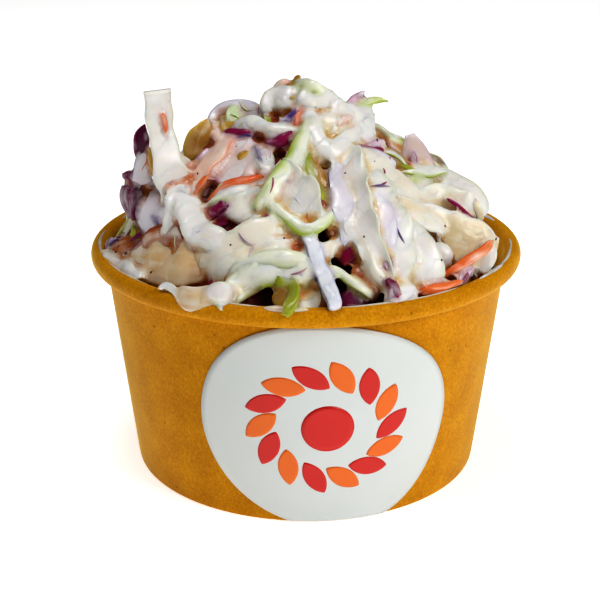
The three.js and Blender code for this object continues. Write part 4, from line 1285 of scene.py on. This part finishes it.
CORE_SINK = 4
CORE_FLOOR = 7.9
CORE_CLEARANCE = 0.4  # from the wall's inner face
CORE_STEPS = (60, 220)  # outwards and round
CORE_LUMPS = 0.8
LEAST_DEPTH = 0.5
DRESSING_FLOOR = 50
TOP_LIFT = 1.0  # the dressing is plain white from here up
CREAM = "#F0EFF0"
FINE = 0.5  # the dressing's mesh size
MOST_TRIANGLES = 190_000
REACH = 0.9  # gaps narrower than twice this are filled with dressing
CREASE_BLUR = 25
# A crease deepens the stain: painted shade in the creases as well as juice.
CREASE_STAIN_AND_SHADE = 0.62
CREASE_LIMITS = (-0.6, 0.7)
MOST_STAIN_AND_SHADE = 0.76  # away from the hollows
VEIL_LIMIT = 0.15  # the most that the dressing is thickened or thinned
SEEN_WITHIN = 0.15  # a shred shows through the dressing from this depth,
FADES_OVER = 0.7  # and fades below it


def pits(x, y):
    """Each hollow's share at a place, 1 in its middle and 0 far away, with its depth."""
    for (cx, cy), reach, depth in HOLLOW_PLACES:
        yield np.exp(-((x - cx) ** 2 + (y - cy) ** 2) / reach**2), depth


def sunk_height(x, y):
    """The heap's outline, sunk under the shreds and pitted at the hollows."""
    height = heap_height(x, y) - CORE_SINK
    for share, depth in pits(x, y):
        height = height - depth * share
    return height


def core(skins, floor):
    """A solid from a level up to the sunk outline: rings from the top's middle out to the wall, and back."""
    outwards, round_steps = CORE_STEPS
    share = np.linspace(0.02, 1, outwards)[:, None]
    azimuth = np.linspace(0, TAU, round_steps, endpoint=False)[None, :]
    reach = wall_outer(FILL_LEVEL - CORE_SINK) - BOARD - CORE_CLEARANCE
    top = on_turn(azimuth, reach * share, 0.0)
    height = sunk_height(top[..., 0], top[..., 1]) + CORE_LUMPS * waves(top, 7, 3)
    top[..., 2] = np.maximum(height, floor + LEAST_DEPTH)
    low = on_turn(azimuth, (wall_outer(floor) - BOARD - CORE_CLEARANCE) * share[::-2], floor)
    middle = sunk_height(np.zeros(1), np.zeros(1))[0]
    skins.add(np.concatenate((top, low))[:, ::-1], (0, 0, middle), (0, 0, floor))
    return skins


def joined(name, meshes):
    """One mesh of several."""
    holder = bmesh.new()
    for part in meshes:
        holder.from_mesh(part)
    made = bpy.data.meshes.new(name)
    holder.to_mesh(made)
    holder.free()
    return made


def surveyed(mesh, shreds, blur):
    """Paints the mesh with the grain of the shreds nearest to its points, and returns with it, for each
    point, the colour of the nearest shred, how far away that is, and how far the point lies under the mean of
    its surroundings, both in mm."""
    source = in_scene("source", shreds)
    tree = bpy.data.node_groups.new("survey", "GeometryNodeTree")
    for way in ("INPUT", "OUTPUT"):
        tree.interface.new_socket("Geometry", in_out=way, socket_type="NodeSocketGeometry")
    geometry = add(tree, "NodeGroupInput").outputs[0]
    other = add(tree, "GeometryNodeObjectInfo", {"Object": source}).outputs["Geometry"]
    place = add(tree, "GeometryNodeInputPosition").outputs[0]
    normal = add(tree, "GeometryNodeInputNormal").outputs[0]

    def blurred(value, iterations, kind):
        inputs = {"Value": value, "Iterations": iterations}
        return add(tree, "GeometryNodeBlurAttribute", inputs, data_type=kind).outputs["Value"]

    def nearest(name):
        value = add(tree, "GeometryNodeInputNamedAttribute", {"Name": name}, data_type="FLOAT_COLOR")
        inputs = {"Mesh": other, "Value": value.outputs["Attribute"]}
        return add(tree, "GeometryNodeSampleNearestSurface", inputs, data_type="FLOAT_COLOR").outputs["Value"]

    mean = blurred(place, CREASE_BLUR, "FLOAT_VECTOR")
    rise = add(tree, "ShaderNodeVectorMath", {0: mean, 1: place}, operation="SUBTRACT").outputs["Vector"]
    crease = add(tree, "ShaderNodeVectorMath", {0: rise, 1: normal}, operation="DOT_PRODUCT").outputs["Value"]
    away = add(tree, "GeometryNodeProximity", {0: other}, target_element="FACES").outputs["Distance"]
    for name, value, kind in (
        ("tint", blurred(nearest("plant"), blur, "FLOAT_COLOR"), "FLOAT_COLOR"),
        ("grain", nearest("grain"), "FLOAT_COLOR"),
        ("near", away, "FLOAT"),
        ("crease", crease, "FLOAT"),
    ):
        inputs = {"Geometry": geometry, "Name": name, "Value": value}
        geometry = add(tree, "GeometryNodeStoreNamedAttribute", inputs, data_type=kind).outputs[0]
    add(tree, "NodeGroupOutput", {"Geometry": geometry})
    result = modified(mesh, "NODES", node_group=tree)
    bpy.data.objects.remove(source)
    found = []
    for name, field, size in (("tint", "color", 4), ("near", "value", 1), ("crease", "value", 1)):
        values = np.zeros(len(result.vertices) * size, np.float32)
        result.attributes[name].data.foreach_get(field, values)
        result.attributes.remove(result.attributes[name])
        found.append(values)
    tint, near, crease = found
    return result, tint.reshape(-1, 4)[:, :3], near / MM, crease / MM


def stain_and_shade_depth(points, crease=0):
    """How deep points lie in the heap, as a share of the depth of its core, and deeper in a crease. What
    hangs over the rim is clear, and only the hollows are as dark as can be. It sets the juice stain and the
    painted shade that darkens the depth, the creases and the hollows."""
    x, y, _ = points.T
    inside = smooth((DOME_RADIUS + 0.5 - np.hypot(x, y)) / 2)
    depth = np.clip((depth_under(points) + TOP_LIFT) / (TOP_LIFT + CORE_SINK), 0, 1) * inside
    depth = depth + CREASE_STAIN_AND_SHADE * np.clip(crease, *CREASE_LIMITS)
    hollow = sum(share for share, _ in pits(x, y))
    return np.clip(depth, 0, MOST_STAIN_AND_SHADE + (1 - MOST_STAIN_AND_SHADE) * np.minimum(1, 1.5 * hollow))


def creamed(mesh, tint=None, depth=None):
    """Paints dressing with the tint that shreds lend it and its depth in the heap, for juice stain and
    painted shade.
    """
    points = points_of(mesh)
    paint(mesh, "tint", np.broadcast_to(linear(CREAM)[:3], points.shape) if tint is None else tint)
    depth = stain_and_shade_depth(points) if depth is None else depth
    paint(mesh, "depth", np.broadcast_to(np.clip(depth, 0, 1), len(points)))
    return mesh


def dressing(shreds):
    """Closes the gaps between shreds: all of them and the heap's core are joined, swollen, joined again and
    shrunk back by a little more or less, so that the dressing webs the gaps and thinly veils the shreds."""
    remesh = dict(mode="VOXEL", voxel_size=FINE * MM, adaptivity=0.0)
    whole = joined("dressing", [shreds, core(Skins(), DRESSING_FLOOR).mesh("mould")])
    whole = modified(whole, "REMESH", **remesh)
    whole = modified(swollen(whole, REACH), "REMESH", **remesh)
    whole, plant, _, _ = surveyed(whole, shreds, blur=3)
    vivid = smooth((1 - plant.min(1) / plant.max(1) - 0.4) / 0.35)
    points = points_of(whole)
    veil = 0.06 + 0.35 * waves(points, 9, 21) + 0.12 * waves(points, 4, 22) - 0.3 * vivid
    whole = swollen(whole, VEIL_LIMIT * np.tanh(veil / 0.14) - REACH)
    whole = modified(whole, "SMOOTH", factor=0.5, iterations=2)
    triangles = len(whole.loops) - 2 * len(whole.polygons)
    whole = modified(whole, "DECIMATE", ratio=min(1, MOST_TRIANGLES / triangles))
    whole, plant, near, crease = surveyed(whole, shreds, blur=2)
    through = (0.92 * np.exp(-np.maximum(0, near - SEEN_WITHIN) / FADES_OVER))[:, None]
    tint = np.array(linear(CREAM)[:3]) * (1 - through) + plant * through
    return creamed(whole, tint, stain_and_shade_depth(points_of(whole), crease))


# ---------- smears of dressing on the rim, fine shavings and specks ----------


def on_rim(across, along, lift):
    """Places on the rolled rim: across runs round it from the front, along runs up and over the roll, from
    the middle of its outer face, and then down the inside of the wall."""
    azimuth = across / RIM_RADIUS
    turn = np.minimum(along / (CURL_HEIGHT / 2), math.pi)
    down = np.maximum(0, along - math.pi * CURL_HEIGHT / 2)
    radius = CURL_CENTRE_R + (CURL_WIDTH / 2 + lift) * np.cos(turn) - WALL_SLOPE * down
    return on_turn(azimuth, radius, CURL_CENTRE_Z + (CURL_HEIGHT / 2 + lift) * np.sin(turn) - down)


SMEAR_STEP = 0.35
SMEAR_BITE = 0.12  # how far a smear's underside reaches into the board


def smear(skins, across, along, length, width, thickness, seed):
    """A streak drawn along the rim: its breadth and its middle line wander, and its ends run out."""
    steps = int(length / SMEAR_STEP)
    u = np.linspace(0, 1, steps)[:, None]
    way = across + (u - 0.5) * length
    spot = np.stack((way, 0 * way, 0 * way), -1)
    ragged = 0.85 + 0.3 * waves(spot, 14, seed, 5) + 0.08 * waves(spot, 4, seed + 50, 5)
    half = width / 2 * np.maximum(0.06, np.sqrt(np.sin(math.pi * u)) * ragged)
    middle = along + 0.2 * waves(spot, 16, seed + 90, 4)
    turn = np.linspace(0, -TAU, 10, endpoint=False)[None, :]
    lift = np.maximum(-SMEAR_BITE, thickness * np.sin(turn)) * np.minimum(1, half)
    rings = on_rim(way + 0 * turn, middle - half * np.cos(turn), lift)
    skins.add(rings, rings[0].mean(0), rings[-1].mean(0))


# Each smear: its place along the rim from the front and up the roll, its length, breadth and thickness.
# Minus is to the left.
SMEARS = [
    (-5, 3.2, 11, 3.0, 0.7),
    (-18, 4.2, 14, 1.2, 0.3),
    (24, 4.1, 36, 1.3, 0.3),
    (58, 4.3, 15, 1.9, 0.45),
    (74, 4.6, 28, 1.1, 0.3),
    (-34, 4.3, 10, 1.2, 0.3),
    (-56, 4.6, 22, 1.4, 0.3),
    (-84, 4.4, 24, 1.0, 0.25),
    (120, 5.2, 30, 2.4, 0.3),
    (155, 4.4, 9, 2.6, 0.3),
    (-125, 5.2, 34, 2.2, 0.3),
    (-165, 4.8, 14, 2.0, 0.3),
]


def rim_smears():
    """All the smears as one mesh."""
    skins = Skins()
    for seed, streak in enumerate(SMEARS):
        smear(skins, *streak, seed)
    return skins.mesh("rim_smears")


SPECK_COUNT = 45
SHAVING_COUNT = 110
SHAVING_MIX = {"violet": 0.24, "magenta": 0.24, "mauve": 0.16, "carrot": 0.14, "lime": 0.14, "lavender": 0.08}
SHAVING_GAP = 4  # the most between its points, so that it doesn't bridge a hollow
SHAVING_END = 0.3
CLEAR_OF_HEAP = 100  # from the heart to outside the heap


def surface_finder(surface):
    """Finds where a line from outside the heap towards its heart first meets a surface, and the normal."""
    surface.calc_loop_triangles()
    corners = np.zeros(len(surface.loop_triangles) * 3, np.int32)
    surface.loop_triangles.foreach_get("vertices", corners)
    tree = BVHTree.FromPolygons(points_of(surface).tolist(), corners.reshape(-1, 3).tolist())

    def find(way):
        way = Vector(way).normalized()
        spot, normal, _, _ = tree.ray_cast(Vector(HEAP_HEART) + way * CLEAR_OF_HEAP, -way)
        return (None, None) if spot is None else (np.array(spot), normal)

    return find


def seeded_way(random, lowest, highest):
    """A way up from the heap's heart, as likely at one height as at another."""
    azimuth, height = random.uniform(0, TAU), random.uniform(lowest, highest)
    flat = math.sqrt(1 - height**2)
    return np.array((flat * math.cos(azimuth), flat * math.sin(azimuth), height))


def shavings(find):
    """Fine shavings that stick to the dressing: thin threads of cabbage and carrot, laid over its surface."""
    random = np.random.default_rng(8)
    skins = new_skins()
    chances = np.array(list(SHAVING_MIX.values()))
    for i in range(SHAVING_COUNT):
        sort = list(SHAVING_MIX)[random.choice(len(chances), p=chances / chances.sum())]
        way = seeded_way(random, 0.2, 0.98)
        step = np.cross(way, random.normal(size=3))
        step *= random.uniform(0.02, 0.06) / np.linalg.norm(step)
        bend = np.cross(way, step) * random.uniform(-0.3, 0.3)
        spots = [find(way + share * step + share**2 * bend)[0] for share in (-1, -0.3, 0.4, 1)]
        width = random.uniform(0.3, 0.6)
        if any(spot is None for spot in spots):
            continue
        if np.linalg.norm(np.diff(spots, axis=0), axis=1).max() > SHAVING_GAP:
            continue
        widths = (SHAVING_END, width, width, SHAVING_END)
        controls = [(*spot, size) for spot, size in zip(spots, widths)]
        lay_shred(skins, sort, controls, 0.25, 2000 + i, blunt=2, cup=0, ruffle=0, tuck=0.1)
    return skins


def specks(find):
    """Cracked pepper and crumbs of red cabbage, half sunk in the dressing. Each is a squashed ball with a
    lumpy outline."""
    random = np.random.default_rng(5)
    skins = Skins()
    down = np.linspace(0, math.pi, 7)[1:-1, None]
    turn = np.linspace(0, -TAU, 9, endpoint=False)[None, :]
    round_ball = (np.sin(down) * np.cos(turn), np.sin(down) * np.sin(turn), np.cos(down))
    round_ball = np.stack(np.broadcast_arrays(*round_ball), -1)
    for i in range(SPECK_COUNT):
        centre, normal = find(seeded_way(random, 0.15, 1))
        if centre is None:
            continue
        size = random.uniform(0.2, 0.45) * np.array((1, random.uniform(0.4, 1), 0.45))
        ball = round_ball * size * (1 + 0.2 * waves(round_ball, 1.5, i, 4))[..., None]
        side = normal.orthogonal().normalized()
        ways = np.array((side, normal.cross(side), normal))
        skins.add(centre + ball @ ways, centre + ways[2] * size[2], centre - ways[2] * size[2])
    return skins.mesh("specks")


# ---------- putting it together ----------

kraft = kraft_board("kraft_board_wall", 0.5)
lining = kraft_board("kraft_board_base", 0.4)
piece(cup_wall(), kraft, "cup_wall")
piece(wall_seam(), kraft)
piece(cup_base(), lining, "cup_base")

paper = coated_paper("label_paper_coated", "#DBDFDD", "#D5DAD7")
red_ink = coated_paper("label_ink_red", "#D8281C", "#CC2016")
orange_ink = coated_paper("label_ink_orange", "#EE7A1C", "#E66E12")
label = patch("label_patch", [label_outline], GAP, LABEL_THICKNESS, rings=20, round_steps=180)
piece(label, paper, "label")
print_lift = GAP + LABEL_THICKNESS - PRINT_BITE
for name, shapes, ink in (
    ("label_print_red", wreath(0) + [disc_shape], red_ink),
    ("label_print_orange", wreath(1), orange_ink),
):
    piece(patch(name, shapes, print_lift, PRINT_THICKNESS, rings=6, round_steps=48), ink)

shreds = new_skins()
for name, (sort, thickness, manner, marks) in SHOWN.items():
    controls = [(*placed(px, py, lift, *depth), width) for px, py, lift, width, *depth in marks]
    lay_shred(shreds, sort, controls, thickness, sum(name.encode()), **manner)
lay_filling(shreds)
shred_meshes = {name: skins.mesh(name + "_shreds") for name, skins in shreds.items()}

wet = {
    "white_cabbage": wet_plant("white_cabbage_dressed", 0.36, 0.3, "#F2F0E8", 0.22),
    "red_cabbage": wet_plant("red_cabbage_dressed", 0.34, 0.3, "#EFEDF0", 0.15),
    "carrot": wet_plant("carrot_dressed", 0.3, 0.2, "#F3E6D8", 0.22),
}
sauce = creamy_dressing("dressing_creamy")
cover = dressing(joined("all_shreds", shred_meshes.values()))
find = surface_finder(cover)
piece(creamed(core(Skins(), CORE_FLOOR).mesh("slaw_core")), sauce, "slaw")
piece(cover, sauce)
for name, mesh in shred_meshes.items():
    piece(mesh, wet[name])
piece(creamed(rim_smears(), depth=0.3), sauce)
pepper = plain("pepper_cracked", Base_Color=linear("#3A1624"), Roughness=0.5)
piece(specks(find), pepper)
for name, skins in shavings(find).items():
    piece(skins.mesh(name + "_shavings"), wet[name])

# ---------- floor, light and camera ----------

FLOOR_HALF = 3000.0
corners = np.array([(-1, -1, 0), (1, -1, 0), (1, 1, 0), (-1, 1, 0)]) * FLOOR_HALF
floor = in_scene("floor", mesh_of("floor", corners, np.array([(0, 1, 2, 3)])))
floor.data.materials.append(
    plain(
        "light_table_frosted_glass",
        Base_Color=linear("#F6F6F5"),
        Roughness=0.9,
        Emission_Color=linear("#FFFFFF"),
        Emission_Strength=0.46,
    )
)

world = bpy.data.worlds.new("studio")
world.use_nodes = True
world.node_tree.nodes["Background"].inputs["Color"].default_value = (1, 1, 1, 1)
world.node_tree.nodes["Background"].inputs["Strength"].default_value = 0.07
bpy.context.scene.world = world


def lamp(name, place, size, power):
    """A soft square lamp at a place in millimetres, turned to the middle of the cup."""
    data = bpy.data.lights.new(name, "AREA")
    data.size = size * MM
    data.energy = power
    made = in_scene(name, data)
    made.location = Vector(place) * MM
    made.rotation_euler = (Vector(MIDDLE) - Vector(place)).to_track_quat("-Z", "Y").to_euler()


MIDDLE = (0, 0, 50)
lamp("key", (1120, -760, 940), 640, 9.1)
lamp("top", (-160, -80, 1200), 360, 4.2)

camera_data = bpy.data.cameras.new("camera")
camera_data.lens = LENS
camera_data.sensor_width = SENSOR
camera = in_scene("camera", camera_data)
camera.location = Vector(CAMERA_PLACE * MM)
camera.rotation_euler = (math.pi / 2 - CAMERA_DIP, 0, 0)
bpy.context.scene.camera = camera
bpy.context.scene.view_settings.view_transform = "Standard"
bpy.context.scene.view_settings.look = "High Contrast"
